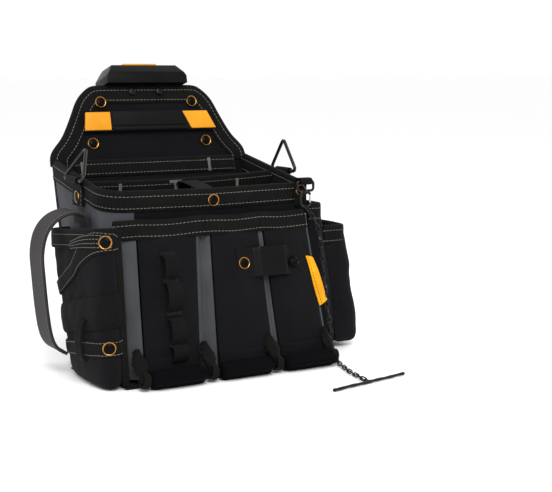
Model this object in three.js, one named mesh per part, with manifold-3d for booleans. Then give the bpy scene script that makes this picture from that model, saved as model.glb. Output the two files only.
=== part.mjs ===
// Electrician's tool pouch: a fabric bag with a stiff leaning back panel, a moulded belt-hub clip,
// three front pockets, a side holster, two side pockets, rings and a tape chain with a T-bar.
// Units are millimetres. +X is the wearer-facing right side, +Y is the back, +Z is up.
// The origin is on the underside of the base, on the centre line of the bag.
import * as THREE from 'three';
import { mergeVertices } from 'three/addons/utils/BufferGeometryUtils.js';
import Module from 'manifold-3d';

const wasm = await Module();
wasm.setup();
const { Manifold } = wasm;

// ---- driving dimensions -------------------------------------------------------------------
const GAP = 0.3;                  // clearance kept between neighbouring pieces
const TAPE = 1.3;                 // thickness of one layer of edge webbing
const SHEET = 3;                  // thickness of the bag's padded nylon walls
const EDGE_WIDTH = 18;            // visible width of a folded edge webbing

const BAG_HALF = 113;             // half width of the bag over its side gussets
const BAG_FRONT = -58;            // outer face of the bag's front wall
const RIM_FRONT = 180;            // height of the rim at the front
const RIM_BACK = 203;             // height of the rim where it meets the back panel
const BACK_FOOT = 28.5;           // where the back panel's front face meets the ground plane
const BACK_SLOPE = 0.25;          // how far the back panel leans back, per unit of height
const BACK_SHEET = 5;             // thickness of the back panel

const POCKET_FOOT = -105;         // where the front pockets' face plane meets the ground plane
const POCKET_SLOPE = 0.233;       // how far that plane leans back, per unit of height
const POCKET_TOP = 153;           // height of the front pockets' top edge
const POCKET_SHEET = 2.5;         // thickness of a front pocket face
const GUSSET_SHEET = 2;           // thickness of the grey folding gussets

const RIVET_CAP = 6;              // radius of a rivet's domed cap
const RIVET_SHANK = 2;            // radius of its shank
const CLIP_BACK = 24;             // depth of the belt clip behind the back panel's front face
const CLIP_TOP = 311;             // top of the clip hood, measured up the back panel
const CHAIN_RADIUS = 2.4;         // outer radius of the tape chain's links
const T_BAR_RADIUS = 1.7;
const RING_WIRE = 1.8;            // wire radius of the triangular rings

// ---- materials ----------------------------------------------------------------------------
const finish = (color, roughness, metalness = 0) =>
  new THREE.MeshStandardMaterial({ color, roughness, metalness });
const nylon = finish(0x1b1c20, 0.85);
const webbing = finish(0x232323, 0.8);
const greyFabric = finish(0x5d6468, 0.85);
const strapBrown = finish(0x4a4544, 0.7);
const elastic = finish(0x2b2b2d, 0.8);
const polymer = finish(0x17181a, 0.4);
const yellow = finish(0xffb014, 0.5);
const rubber = finish(0x202123, 0.6);
const brass = finish(0x8a6a30, 0.35, 1);
const steel = finish(0x2c2c2e, 0.35, 1);
const blackWire = finish(0x141415, 0.45, 0.6);

// ---- solids -------------------------------------------------------------------------------
function solidOf(geometry) {
  geometry.deleteAttribute('normal');
  geometry.deleteAttribute('uv');
  const merged = mergeVertices(geometry, 1e-4);
  const vertProperties = new Float32Array(merged.attributes.position.array);
  const triVerts = new Uint32Array(merged.index.array);
  return new Manifold(new wasm.Mesh({ numProp: 3, vertProperties, triVerts }));
}

function geometryOf(body) {
  const mesh = body.getMesh();
  const geometry = new THREE.BufferGeometry();
  geometry.setAttribute('position', new THREE.BufferAttribute(new Float32Array(mesh.vertProperties), 3));
  geometry.setIndex(new THREE.BufferAttribute(new Uint32Array(mesh.triVerts), 1));
  geometry.computeVertexNormals();
  return geometry;
}

const pouch = new THREE.Group();
const back = new THREE.Group();
back.position.set(0, BACK_FOOT, 0);
back.rotation.x = -Math.atan(BACK_SLOPE);
const frontRow = new THREE.Group();
frontRow.position.set(0, POCKET_FOOT, 0);
frontRow.rotation.x = -Math.atan(POCKET_SLOPE);
pouch.add(back, frontRow);

function add(name, material, body, group = pouch) {
  const mesh = new THREE.Mesh(geometryOf(body), material.clone());
  mesh.name = name;
  group.add(mesh);
}

// Heights above the ground, turned into distances up a leaning plane.
const upBack = (height) => height * Math.hypot(1, BACK_SLOPE);
const upPocket = (height) => height * Math.hypot(1, POCKET_SLOPE);
const backFace = (height) => BACK_FOOT + BACK_SLOPE * height;
const pocketFace = (height) => POCKET_FOOT + POCKET_SLOPE * height;

// The three directions an outline can be drawn in: its own x, its own y and its thickness.
const X = new THREE.Vector3(1, 0, 0);
const Y = new THREE.Vector3(0, 1, 0);
const Z = new THREE.Vector3(0, 0, 1);
const VIEWS = {
  front: new THREE.Matrix4().makeBasis(X, Z, Y.clone().negate()),
  side: new THREE.Matrix4().makeBasis(Y, Z, X),
  plan: new THREE.Matrix4(),
};
const THICKNESS = {
  front: (low, high) => [0, high, 0],
  side: (low) => [low, 0, 0],
  plan: (low) => [0, 0, low],
};

// A flat piece: an outline seen in one view, filling the thickness from low to high.
function slab(points, view, low, high) {
  const shape = new THREE.Shape(points.map(([a, b]) => new THREE.Vector2(a, b)));
  const geometry = new THREE.ExtrudeGeometry(shape, { depth: high - low, bevelEnabled: false });
  geometry.applyMatrix4(VIEWS[view]);
  geometry.translate(...THICKNESS[view](low, high));
  return solidOf(geometry);
}

const rect = (a0, b0, a1, b1) => [[a0, b0], [a1, b0], [a1, b1], [a0, b1]];
const box = (low, high) => slab(rect(low[0], low[1], high[0], high[1]), 'plan', low[2], high[2]);

// The same line moved sideways by a distance, to the left of its direction, with mitred corners.
function shift(points, distance, closed = false) {
  const count = points.length;
  const leftOf = ([x0, y0], [x1, y1]) => {
    const length = Math.hypot(x1 - x0, y1 - y0);
    return [(y0 - y1) / length, (x1 - x0) / length];
  };
  return points.map((point, i) => {
    const normals = [];
    if (closed || i > 0) normals.push(leftOf(points[(i + count - 1) % count], point));
    if (closed || i < count - 1) normals.push(leftOf(point, points[(i + 1) % count]));
    const sum = [0, 1].map((axis) => normals.reduce((total, normal) => total + normal[axis], 0));
    const mitre = (distance * normals.length) / (sum[0] ** 2 + sum[1] ** 2);
    return [point[0] + sum[0] * mitre, point[1] + sum[1] * mitre];
  });
}

const ribbon = (points, left, right) => [...shift(points, left), ...shift(points, -right).reverse()];

// Webbing folded over the edge of a sheet: a U-shaped channel along a line whose outside is to
// the left. The sheet fills the thickness from low to high.
function binding(edge, view, low, high, width = EDGE_WIDTH) {
  const tape = slab(ribbon(edge, GAP + TAPE, width), view, low - GAP - TAPE, high + GAP + TAPE);
  const room = slab(ribbon(edge, GAP, width + TAPE), view, low - GAP, high + GAP);
  return tape.subtract(room);
}

// A shape whose plan changes from a low outline to a high one. Points are [x, y, z].
function loft(low, high, steps = 1) {
  const shape = new THREE.Shape(low.map(([x, y]) => new THREE.Vector2(x, y)));
  const geometry = new THREE.ExtrudeGeometry(shape, { depth: 1, steps, bevelEnabled: false });
  const position = geometry.attributes.position;
  for (let i = 0; i < position.count; i += 1) {
    const near = ([x, y]) => Math.hypot(x - position.getX(i), y - position.getY(i));
    const index = low.reduce((best, point, j) => (near(point) < near(low[best]) ? j : best), 0);
    const share = position.getZ(i);
    position.setXYZ(i, ...low[index].map((value, axis) => value + share * (high[index][axis] - value)));
  }
  return solidOf(geometry);
}

const raised = (points, z) => points.map(([x, y]) => [x, y, typeof z === 'function' ? z(x, y) : z]);

// A bar of constant section along a curve through the given points.
function bar(points, radius, steps, sides = 8) {
  const curve = new THREE.CatmullRomCurve3(points.map((point) => new THREE.Vector3(...point)));
  const section = new THREE.Shape();
  section.absarc(0, 0, radius, 0, 2 * Math.PI, false);
  const options = { steps, extrudePath: curve, curveSegments: sides / 2, bevelEnabled: false };
  return solidOf(new THREE.ExtrudeGeometry(section, options));
}

// A turned piece about an axis; profile points are [radius, height], from bottom to top.
function turned(profile, axis, at, segments = 10) {
  const points = profile.map(([radius, height]) => new THREE.Vector2(radius, height));
  const geometry = new THREE.LatheGeometry(points, segments);
  const turn = new THREE.Quaternion().setFromUnitVectors(Y, axis.clone().normalize());
  geometry.applyQuaternion(turn);
  geometry.translate(...at);
  return solidOf(geometry);
}

// A rivet through a stack of layers. The head sits on the point given, its axis points outwards.
function rivet(at, axis, stack) {
  const foot = -stack - GAP;
  const profile = [
    [0, foot - 1.2], [4.2, foot - 1.2], [4.2, foot], [RIVET_SHANK, foot],
    [RIVET_SHANK, GAP], [RIVET_CAP, GAP], [RIVET_CAP, 1.3], [4, 2.6], [0, 2.6],
  ];
  return turned(profile, axis, at);
}

function rivetHole(at, axis, stack) {
  const reach = stack + 4;
  const profile = [[0, -reach], [RIVET_SHANK + GAP, -reach], [RIVET_SHANK + GAP, 4], [0, 4]];
  return turned(profile, axis, at);
}

const mirrored = (points) => [...points, ...points.map(([x, y]) => [-x, y]).reverse()];
const FORWARD = new THREE.Vector3(0, -1, 0);
const LEFTWARD = new THREE.Vector3(-1, 0, 0);
const RIGHTWARD = new THREE.Vector3(1, 0, 0);

// ---- back panel, its edge webbing, label and rivets ----------------------------------------
const panelRise = [
  [113, 4], [113.2, upBack(199)], [110, upBack(213)], [98, upBack(225)],
  [88, upBack(243)], [77, upBack(266)], [67, upBack(275)], [60, upBack(279)],
];
const panelOutline = mirrored(panelRise);
const rivetSpots = [[-54, upBack(263)], [54, upBack(263)], [-67, upBack(220)], [67, upBack(220)]];
const screwSpots = [[-16, upBack(274)], [16, upBack(274)]];
const SCREW_RADIUS = 1.6;

function screwProfile(reach) {
  return [[0, -reach], [SCREW_RADIUS, -reach], [SCREW_RADIUS, GAP], [4, GAP], [4, 1.5], [2.5, 2.6], [0, 2.6]];
}

function buildBackPanel() {
  let panel = slab(panelOutline, 'front', 0, BACK_SHEET);
  // The edge webbing runs from the bag's rim up and over; its outside is on the left going down.
  const edge = mirrored([[112, upBack(206)], ...panelRise.slice(2)]).reverse();
  let tape = binding(edge, 'front', 0, BACK_SHEET, EDGE_WIDTH);
  tape = tape.subtract(box([-48, BACK_SHEET + GAP, 180], [48, 20, 300]));
  rivetSpots.forEach(([x, up], i) => {
    const upper = i < 2;
    const seat = upper ? -GAP - TAPE : 0;
    const stack = upper ? BACK_SHEET + 2 * (GAP + TAPE) : BACK_SHEET;
    const hole = rivetHole([x, seat, up], FORWARD, stack);
    panel = panel.subtract(hole);
    tape = tape.subtract(hole);
    add(`panel_rivet_${i + 1}`, brass, rivet([x, seat, up], FORWARD, stack), back);
  });
  screwSpots.forEach(([x, up], i) => {
    const seat = -GAP - TAPE;
    const hole = turned([[0, -30], [2, -30], [2, 6], [0, 6]], FORWARD, [x, seat, up]);
    panel = panel.subtract(hole);
    tape = tape.subtract(hole);
    add(`clip_screw_${i + 1}`, steel, turned(screwProfile(16), FORWARD, [x, seat, up]), back);
  });
  add('back_panel', nylon, panel, back);
  add('back_panel_binding', webbing, tape, back);

  const plateTop = upBack(253);
  const plateFoot = upBack(231);
  const plate = [[-77.5, plateFoot], [77.5, plateFoot], [70, plateTop], [-70, plateTop]];
  add('label_plate', rubber, slab(plate, 'front', -GAP - TAPE - 4, -GAP - TAPE - GAP), back);
}

// ---- belt clip: hood, receiver, release button, latch and spring ----------------------------
const BUTTON_HALF = 20;
const STEM_HALF = 5;
const RAMP = 300;                 // the ramp between stem and latch lies where y + up equals this

function buildClip() {
  const seam = 290;
  const hoodSide = [
    [-12, seam], [-12, 302], [-5, CLIP_TOP], [CLIP_BACK - 3, CLIP_TOP],
    [CLIP_BACK, CLIP_TOP - 4], [CLIP_BACK, seam],
  ];
  const hoodFront = [[-47, seam], [47, seam], [47, 298], [38, CLIP_TOP], [-38, CLIP_TOP], [-47, 298]];
  let hood = slab(hoodSide, 'side', -50, 50).intersect(slab(hoodFront, 'front', -20, 40));
  hood = hood.subtract(box([-BUTTON_HALF - GAP, 5.7, 297], [BUTTON_HALF + GAP, 21.3, 330]));
  hood = hood.subtract(box([-STEM_HALF - GAP, 14.7, 280], [STEM_HALF + GAP, 19.3, 300]));
  add('clip_housing', polymer, hood, back);

  const bodyOutline = [[-46, 206], [46, 206], [42, seam - GAP], [-42, seam - GAP]];
  let receiver = slab(bodyOutline, 'front', BACK_SHEET + GAP, CLIP_BACK);
  const slotWide = [[-31, 200], [31, 200], [22, 268], [-22, 268]];
  const slotMouth = [[-22, 200], [22, 200], [13, 268], [-13, 268]];
  receiver = receiver.subtract(slab(slotWide, 'front', 10, 17));
  receiver = receiver.subtract(slab(slotMouth, 'front', 16, 40));
  receiver = receiver.subtract(box([-6.5, 9, 262], [6.5, 22, 300]));
  screwSpots.forEach(([x, up]) => {
    const pilot = turned([[0, -20], [SCREW_RADIUS + GAP, -20], [SCREW_RADIUS + GAP, 6], [0, 6]],
      FORWARD, [x, -GAP - TAPE, up]);
    receiver = receiver.subtract(pilot);
  });
  add('clip_receiver', polymer, receiver, back);

  // The button's stem ends in a slanted foot that pushes the latch towards the back panel.
  const stem = [[15, 302], [15, RAMP - 15], [19, RAMP - 19], [19, 302]];
  const cap = box([-BUTTON_HALF, 6, 301.5], [BUTTON_HALF, 21, CLIP_TOP + 4.5]);
  add('release_button', yellow, cap.add(slab(stem, 'side', -STEM_HALF, STEM_HALF)), back);
  const latch = [
    [13.5, 264], [20, 264], [20, 268], [18.6, 271],
    [18.6, RAMP - 0.5 - 18.6], [13.5, RAMP - 0.5 - 13.5],
  ];
  add('latch_pawl', steel, slab(latch, 'side', -STEM_HALF - 1, STEM_HALF + 1), back);

  const turns = [];
  for (let i = 0; i <= 16; i += 1) {
    const angle = (i / 16) * 4 * Math.PI;
    turns.push([12 + 2.6 * Math.cos(angle), 17 + 2.6 * Math.sin(angle), 298 + (i / 16) * 2.6]);
  }
  add('button_spring', steel, bar(turns, 0.45, 24, 6), back);
}

// ---- pocket sewn to the front of the back panel ---------------------------------------------
function buildInnerPocket() {
  const outer = box([-92, -14, upBack(70)], [92, -GAP, upBack(199)]);
  const room = box([-90, -12, upBack(72)], [90, 2, upBack(230)]);
  const rear = box([-90, -2.3, upBack(71)], [90, -GAP, upBack(180)]);
  add('inner_pocket', nylon, outer.subtract(room).add(rear), back);
}

// ---- bag body ------------------------------------------------------------------------------
const rimHeight = (y) => RIM_FRONT + ((y - BAG_FRONT) * (RIM_BACK - RIM_FRONT)) / (backFace(RIM_BACK) - BAG_FRONT);
const RIVET_SEAT = GAP + TAPE;
const rimRivet = { at: [3, BAG_FRONT - RIVET_SEAT, 169.5], axis: FORWARD };
const LEFT_SEAT = -BAG_HALF - RIVET_SEAT;
const ringTabFoot = 164;

function buildBag() {
  const floor = rect(-BAG_HALF, pocketFace(0) - 1, BAG_HALF, backFace(0) - GAP);
  add('base_panel', nylon, slab(floor, 'plan', 0, SHEET));

  const wallFoot = SHEET + GAP;
  const inside = BAG_HALF - SHEET - GAP;
  let frontWall = box([-inside, BAG_FRONT, wallFoot], [inside, BAG_FRONT + SHEET, RIM_FRONT]);
  const gusset = [
    [BAG_FRONT, wallFoot], [backFace(wallFoot) - GAP - 0.2, wallFoot],
    [backFace(RIM_BACK) - GAP - 0.2, RIM_BACK], [BAG_FRONT, RIM_FRONT],
  ];
  let left = slab(gusset, 'side', -BAG_HALF, -BAG_HALF + SHEET);
  let right = slab(gusset, 'side', BAG_HALF - SHEET, BAG_HALF);

  const reach = BAG_HALF + GAP + TAPE;
  const top = [[-reach, RIM_FRONT], [reach, RIM_FRONT]].reverse();
  const slope = [[backFace(RIM_BACK) - 4, rimHeight(backFace(RIM_BACK) - 4)], [BAG_FRONT, RIM_FRONT]];
  const sideEdge = [...slope, [BAG_FRONT - GAP - TAPE, RIM_FRONT]];
  let rim = binding(top.reverse(), 'front', BAG_FRONT, BAG_FRONT + SHEET, 19);
  rim = rim.add(binding([...sideEdge].reverse(), 'side', -BAG_HALF, -BAG_HALF + SHEET, 19));
  rim = rim.add(binding([...sideEdge].reverse(), 'side', BAG_HALF - SHEET, BAG_HALF, 19));
  rim = rim.subtract(box([-inside - GAP, BAG_FRONT - GAP, 100], [inside + GAP, BAG_FRONT + SHEET + GAP, RIM_FRONT + GAP]));
  const sideRoom = slab(shift(gusset, -GAP, true), 'side', -BAG_HALF - GAP, -BAG_HALF + SHEET + GAP);
  rim = rim.subtract(sideRoom).subtract(sideRoom.translate([2 * BAG_HALF - SHEET, 0, 0]));
  const clear = GAP + TAPE + 1;
  const behind = [[backFace(100) - clear, 100], [backFace(260) - clear, 260], [200, 260], [200, 100]];
  rim = rim.subtract(slab(behind, 'side', -200, 200));

  const stack = SHEET + 2 * RIVET_SEAT;
  const hole = rivetHole(rimRivet.at, rimRivet.axis, stack + 6);
  frontWall = frontWall.subtract(hole);
  rim = rim.subtract(hole);
  add('rim_rivet', brass, rivet(rimRivet.at, rimRivet.axis, stack));

  // Webbing tabs that hold the two triangular rings, one on each side, with a rivet each.
  [-1, 1].forEach((side) => {
    const name = side < 0 ? 'left' : 'right';
    const axis = side < 0 ? LEFTWARD : RIGHTWARD;
    const face = side * (BAG_HALF + RIVET_SEAT);
    const at = [face + side * 2.3, RING_Y, 173];
    const punched = rivetHole(at, axis, stack + 8);
    if (side < 0) left = left.subtract(punched);
    else right = right.subtract(punched);
    rim = rim.subtract(punched);
    let tab = ringTab(side);
    tab = tab.subtract(punched);
    add(`ring_tab_${name}`, webbing, tab);
    add(`ring_rivet_${name}`, brass, rivet(at, axis, stack + 2.3));
    add(`ring_${name}`, blackWire, ring(side));
  });

  // Webbing tab at the right front corner that the snap hook hangs from.
  const hookStack = stack + 1.6;
  const hookSpot = [HOOK_X, BAG_FRONT - RIVET_SEAT - GAP - 1.6, 174];
  const hookHole = rivetHole(hookSpot, FORWARD, hookStack + 6);
  frontWall = frontWall.subtract(hookHole);
  rim = rim.subtract(hookHole);
  add('hook_tab', webbing, hookTab().subtract(hookHole));
  add('hook_rivet', brass, rivet(hookSpot, FORWARD, hookStack + GAP));

  add('front_panel', nylon, frontWall);
  add('left_gusset', greyFabric, left);
  add('right_gusset', greyFabric, right);
  add('rim_binding', webbing, rim);
}

// ---- divider and its strap -------------------------------------------------------------------
const DIVIDER_Y = 6;
const DIVIDER_TOP = 186;

function buildDivider() {
  const inside = BAG_HALF - SHEET - 2;
  const panel = box([-inside, DIVIDER_Y, SHEET + GAP], [inside, DIVIDER_Y + SHEET, DIVIDER_TOP - 20]);
  const upper = [[-inside, DIVIDER_TOP - 20.5], [inside, DIVIDER_TOP - 20.5], [inside - 4, DIVIDER_TOP], [4 - inside, DIVIDER_TOP]];
  const strap = [
    [DIVIDER_Y + 1, 180], [DIVIDER_Y + 1, 182.2], [BAG_FRONT + SHEET + RIVET_SEAT + 2, 178],
    [BAG_FRONT + SHEET + RIVET_SEAT + GAP + 1, 168], [BAG_FRONT + SHEET + RIVET_SEAT + GAP + 1, 163],
    [BAG_FRONT + SHEET + RIVET_SEAT + GAP + 3, 163], [BAG_FRONT + SHEET + RIVET_SEAT + 4.5, 176],
  ];
  const hole = rivetHole([rimRivet.at[0], rimRivet.at[1], rimRivet.at[2]], FORWARD, 14);
  const washer = turned([[0, -16], [5, -16], [5, -5], [0, -5]], FORWARD, rimRivet.at);
  const tie = slab(strap, 'side', -8, 12).subtract(hole).subtract(washer);
  add('divider_panel', nylon, panel.add(slab(upper, 'front', DIVIDER_Y, DIVIDER_Y + SHEET)).add(tie));
}

// ---- triangular rings -----------------------------------------------------------------------
const RING_Y = 2;                 // where the tab sits along the rim
const RING_Z = 190;               // height of the ring's straight bar
const RING_OUT = BAG_HALF + 7.4;  // distance of that bar from the centre line
const RING_HALF = 21;             // half the bar's length between corner centres
const RING_RISE = 26;             // height of the apex above the bar
const TAB_HALF = 14;
const LEFT_RING_LEAN = THREE.MathUtils.degToRad(25); // the left ring rests leaning inwards

function roundedTriangle(shape, radius) {
  const corners = [[RING_HALF, 0], [0, RING_RISE], [-RING_HALF, 0]];
  const slant = Math.atan2(RING_HALF, RING_RISE);
  const turns = [[-Math.PI / 2, slant], [slant, Math.PI - slant], [Math.PI - slant, 1.5 * Math.PI]];
  corners.forEach(([x, y], i) => shape.absarc(x, y, radius, turns[i][0], turns[i][1], false));
  return shape;
}

function ring(side) {
  const corner = 3;
  const bevel = RING_WIRE * 0.55;
  const shape = roundedTriangle(new THREE.Shape(), corner + RING_WIRE - bevel);
  shape.holes.push(roundedTriangle(new THREE.Path(), corner - RING_WIRE + bevel));
  const geometry = new THREE.ExtrudeGeometry(shape, {
    depth: 2 * (RING_WIRE - bevel), bevelThickness: bevel, bevelSize: bevel, bevelSegments: 1, curveSegments: 3,
  });
  geometry.translate(0, corner, -(RING_WIRE - bevel));
  geometry.applyMatrix4(VIEWS.side);
  if (side < 0) geometry.rotateY(LEFT_RING_LEAN);
  geometry.translate(side * RING_OUT, RING_Y, RING_Z);
  return solidOf(geometry);
}

function ringTab(side) {
  const face = BAG_HALF + RIVET_SEAT + GAP;
  const eye = { x: RING_OUT, z: RING_Z, outer: 4.6 };
  const strip = box([face, -TAB_HALF, ringTabFoot], [face + 2, TAB_HALF, RING_Z]);
  const loop = turned([[0, -TAB_HALF], [eye.outer, -TAB_HALF], [eye.outer, TAB_HALF], [0, TAB_HALF]], Y, [eye.x, 0, eye.z], 16);
  const reach = RING_WIRE + 0.5;
  const bore = turned([[0, -30], [reach, -30], [reach, 30], [0, 30]], Y, [eye.x, 0, eye.z], 12);
  let tab = strip.add(loop).subtract(bore);
  tab = tab.translate([0, RING_Y, 0]);
  return side > 0 ? tab : tab.mirror([1, 0, 0]);
}

// ---- snap hook, chain and T-bar --------------------------------------------------------------
const HOOK_X = 104;
const HOOK_Y = BAG_FRONT - RIVET_SEAT - 11;
const HOOK_PIN_Z = 184;           // the hook's eye hangs here, in the tab's loop
const HOOK_HALF = 1.4;            // half the thickness of the hook's wire
const CHAIN_START = [HOOK_X + 2, HOOK_Y - 0.5, 153];
const CHAIN_BEND = [117.5, -104.5, 7];
const CHAIN_END = [98, -190, CHAIN_RADIUS + 0.1];
const BAR_MIDDLE = [99, -198.5, T_BAR_RADIUS + 0.1];

function hookTab() {
  const face = BAG_FRONT - RIVET_SEAT - GAP;
  const half = 7;
  const strip = box([HOOK_X - half, face - 1.6, 158], [HOOK_X + half, face, HOOK_PIN_Z + 3]);
  const bridge = box([HOOK_X - half, HOOK_Y, HOOK_PIN_Z + 1.4], [HOOK_X + half, face, HOOK_PIN_Z + 3.6]);
  const centre = [HOOK_X, HOOK_Y, HOOK_PIN_Z];
  const loop = turned([[0, -half], [4, -half], [4, half], [0, half]], X, centre, 12);
  const bore = turned([[0, -20], [2.3, -20], [2.3, 20], [0, 20]], X, centre, 12);
  return strip.add(bridge).add(loop).subtract(bore);
}

function buildChain() {
  const flat = (points) => slab(points, 'front', HOOK_Y - HOOK_HALF, HOOK_Y + HOOK_HALF);
  const about = (x0, z0, x1, z1) => flat(rect(HOOK_X + x0, z0, HOOK_X + x1, z1));
  const top = HOOK_PIN_Z + HOOK_HALF;
  const eye = about(-11, 173, 11, top).subtract(about(-8.2, 175.6, 8.2, HOOK_PIN_Z - HOOK_HALF));
  const bow = [[-4, 174], [-7, 170], [-7, 160], [-3, 156], [3, 156], [7, 160], [7, 170], [4, 174]];
  const opening = [[-2, 171], [-4.4, 169], [-4.4, 161], [-2, 158.6], [2, 158.6], [4.4, 161], [4.4, 169], [2, 171]];
  const place = (points) => points.map(([x, z]) => [HOOK_X + x, z]);
  let hook = eye.add(flat(place(bow))).subtract(flat(place(opening)));
  hook = hook.subtract(about(4, 161.2, 8, 169.6));
  add('snap_hook', steel, hook);
  add('hook_gate', steel, about(4.6, 161.5, 6.8, 169));

  const upper = [
    CHAIN_START, [113, HOOK_Y - 5, 143], [117.5, -79, 122],
    [117.5, -88, 76], [117.5, -98, 35], [117.5, -103.5, 12],
  ];
  add('chain_hanging', steel, bar(upper, CHAIN_RADIUS, 20));
  const lower = [CHAIN_BEND, [116.5, -112, 3.6], [110, -132, CHAIN_END[2]], [102, -162, CHAIN_END[2]], CHAIN_END];
  add('chain_floor', steel, bar(lower, CHAIN_RADIUS, 14));

  const half = 49;
  const run = new THREE.Vector3(96, 19, 0).normalize();
  const ends = [-half, half].map((along) => BAR_MIDDLE.map((value, i) => value + along * run.getComponent(i)));
  const rod = bar([ends[0], BAR_MIDDLE, ends[1]], T_BAR_RADIUS, 2);
  const stub = box([BAR_MIDDLE[0] - 2.5, BAR_MIDDLE[1], 0.6], [BAR_MIDDLE[0] + 2.5, CHAIN_END[1] - 1.5, 3]);
  add('t_bar', steel, rod.add(stub));
}

// ---- front pockets ---------------------------------------------------------------------------
// Each face is [left, right] at the top and [left, right] at the foot.
const faces = [
  { top: [-84, -22], foot: [-91, -35] },
  { top: [-5, 46], foot: [-13, 48] },
  { top: [53, 102], foot: [57, 111] },
];
const FACE_FOOT = 4;
const clipRivets = [[25, 106], [82, 103]];

function buildPocketFaces() {
  const top = upPocket(POCKET_TOP);
  const foot = upPocket(FACE_FOOT);
  faces.forEach((face, i) => {
    const outline = [[face.foot[0], foot], [face.foot[1], foot], [face.top[1], top], [face.top[0], top]];
    let sheet = slab(outline, 'front', 0, POCKET_SHEET);
    clipRivets.forEach(([x, height]) => {
      sheet = sheet.subtract(rivetHole([x, 0, upPocket(height)], FORWARD, 8));
    });
    add(`pocket_face_${i + 1}`, nylon, sheet, frontRow);
    const edge = [[face.top[0], top], [face.top[1], top]];
    add(`pocket_binding_${i + 1}`, webbing, binding(edge, 'front', 0, POCKET_SHEET), frontRow);
  });

  const plate = [[17, -0.9], [38, -0.9], [41, -5], [72, -5], [75, -0.9], [90, -0.9]];
  let clip = slab(ribbon(plate, 0.6, 0.6), 'plan', upPocket(91), upPocket(121));
  clipRivets.forEach(([x, height], i) => {
    const at = [x, -1.5, upPocket(height)];
    clip = clip.subtract(rivetHole(at, FORWARD, 8));
    add(`tape_clip_rivet_${i + 1}`, brass, rivet(at, FORWARD, 1.5 + POCKET_SHEET), frontRow);
  });
  add('tape_clip', polymer, clip, frontRow);

  const tag = [[98, upPocket(108)], [104, upPocket(103)], [113, upPocket(66)], [108, upPocket(57)]];
  add('side_tag', yellow, slab(tag, 'front', -GAP - 1, -GAP), frontRow);
}

// One stretch strap sewn up the first pocket in four arches, each open to the left and right.
const LOOP_MIDDLE = -58;
const LOOP_HALF = 8;
const LOOP_RISE = 12;
const arches = [[20.5, 34], [37, 60], [69, 94], [98, 120]];

function buildToolLoops() {
  let loops = slab(rect(LOOP_MIDDLE - LOOP_HALF, upPocket(19.8), LOOP_MIDDLE + LOOP_HALF, upPocket(122)),
    'front', -GAP - 1, -GAP);
  arches.forEach(([low, high]) => {
    const middle = upPocket((low + high) / 2);
    const half = upPocket((high - low) / 2) - 0.8;
    const line = [];
    for (let i = 0; i <= 10; i += 1) {
      const angle = (i / 10) * Math.PI;
      line.push([-1 - LOOP_RISE * Math.sin(angle), middle - half * Math.cos(angle)]);
    }
    const arch = slab(ribbon(line, 0.8, 0.8), 'side', LOOP_MIDDLE - LOOP_HALF, LOOP_MIDDLE + LOOP_HALF);
    loops = loops.add(arch.subtract(box([LOOP_MIDDLE - 20, -GAP, 0], [LOOP_MIDDLE + 20, 8, 200])));
  });
  add('elastic_tool_loops', elastic, loops, frontRow);
}

// Folding gussets between the pocket faces and the bag's front wall, drawn in plan.
function buildPocketGussets() {
  const wall = BAG_FRONT - GAP - 0.8;
  const heights = [SHEET + GAP + 0.2, POCKET_TOP];
  const fold = (low, high) => loft(
    raised(ribbon(low, GUSSET_SHEET / 2, GUSSET_SHEET / 2), heights[0]),
    raised(ribbon(high, GUSSET_SHEET / 2, GUSSET_SHEET / 2), heights[1]), 8);
  const at = (x, level, depth) => [x, pocketFace(heights[level]) + depth];
  const edge = 1.8;
  add('pocket_gusset_left', greyFabric, fold(
    [at(faces[0].foot[0] - edge, 0, 1), at(-107, 0, 12), [-111, wall]],
    [at(faces[0].top[0] - edge, 1, 1), at(-101, 1, 3), [-110, wall]]));
  add('pocket_gusset_right', greyFabric, fold(
    [at(faces[2].foot[1] + edge, 0, 1), [112.5, wall]],
    [at(faces[2].top[1] + edge, 1, 1), [111, wall]]));
  [0, 1].forEach((i) => {
    const level = (key, index) => {
      const left = faces[i][key][1] + edge;
      const right = faces[i + 1][key][0] - edge;
      const middle = (left + right) / 2;
      const dip = Math.min(9, (right - left) * 0.9);
      return { fold: [at(left, index, 1), at(middle, index, dip), at(right, index, 1)], middle, dip };
    };
    const foot = level('foot', 0);
    const top = level('top', 1);
    const web = loft(
      raised([[foot.middle - 1, foot.fold[1][1]], [foot.middle + 1, foot.fold[1][1]],
        [foot.middle + 1, wall], [foot.middle - 1, wall]], heights[0]),
      raised([[top.middle - 1, top.fold[1][1]], [top.middle + 1, top.fold[1][1]],
        [top.middle + 1, wall], [top.middle - 1, wall]], heights[1]));
    add(`pocket_gusset_${i + 1}`, greyFabric, fold(foot.fold, top.fold).add(web));
  });

  const roll = [
    [-107, 0.1], [-106.6, 4], [-102.6, 15], [-108, 18.5], [-118, 18.5],
    [-127, 15], [-131, 9], [-129, 3], [-123, 0.1],
  ];
  add('base_roll', nylon, slab(roll, 'side', -92, 108));
}

// ---- holster on the left side -----------------------------------------------------------------
const HOLSTER_WALL = -113.6;
const holsterFoot = [
  [HOLSTER_WALL, -103], [-124, -107], [-135, -98], [-140, -60], [-136, -25], [-124, 4], [HOLSTER_WALL, 16],
];
const holsterRim = [
  [HOLSTER_WALL, -88], [-120, -91], [-131, -80], [-138, -45], [-140, 0], [-133, 26], [HOLSTER_WALL, 38],
];
const holsterTop = (x, y) => 150 - 0.1 * (y + 90);

function grow(points, distance) {
  const area = points.reduce((sum, [x, y], i) => {
    const next = points[(i + 1) % points.length];
    return sum + x * next[1] - next[0] * y;
  }, 0);
  return shift(points, area > 0 ? -distance : distance, true);
}

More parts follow.
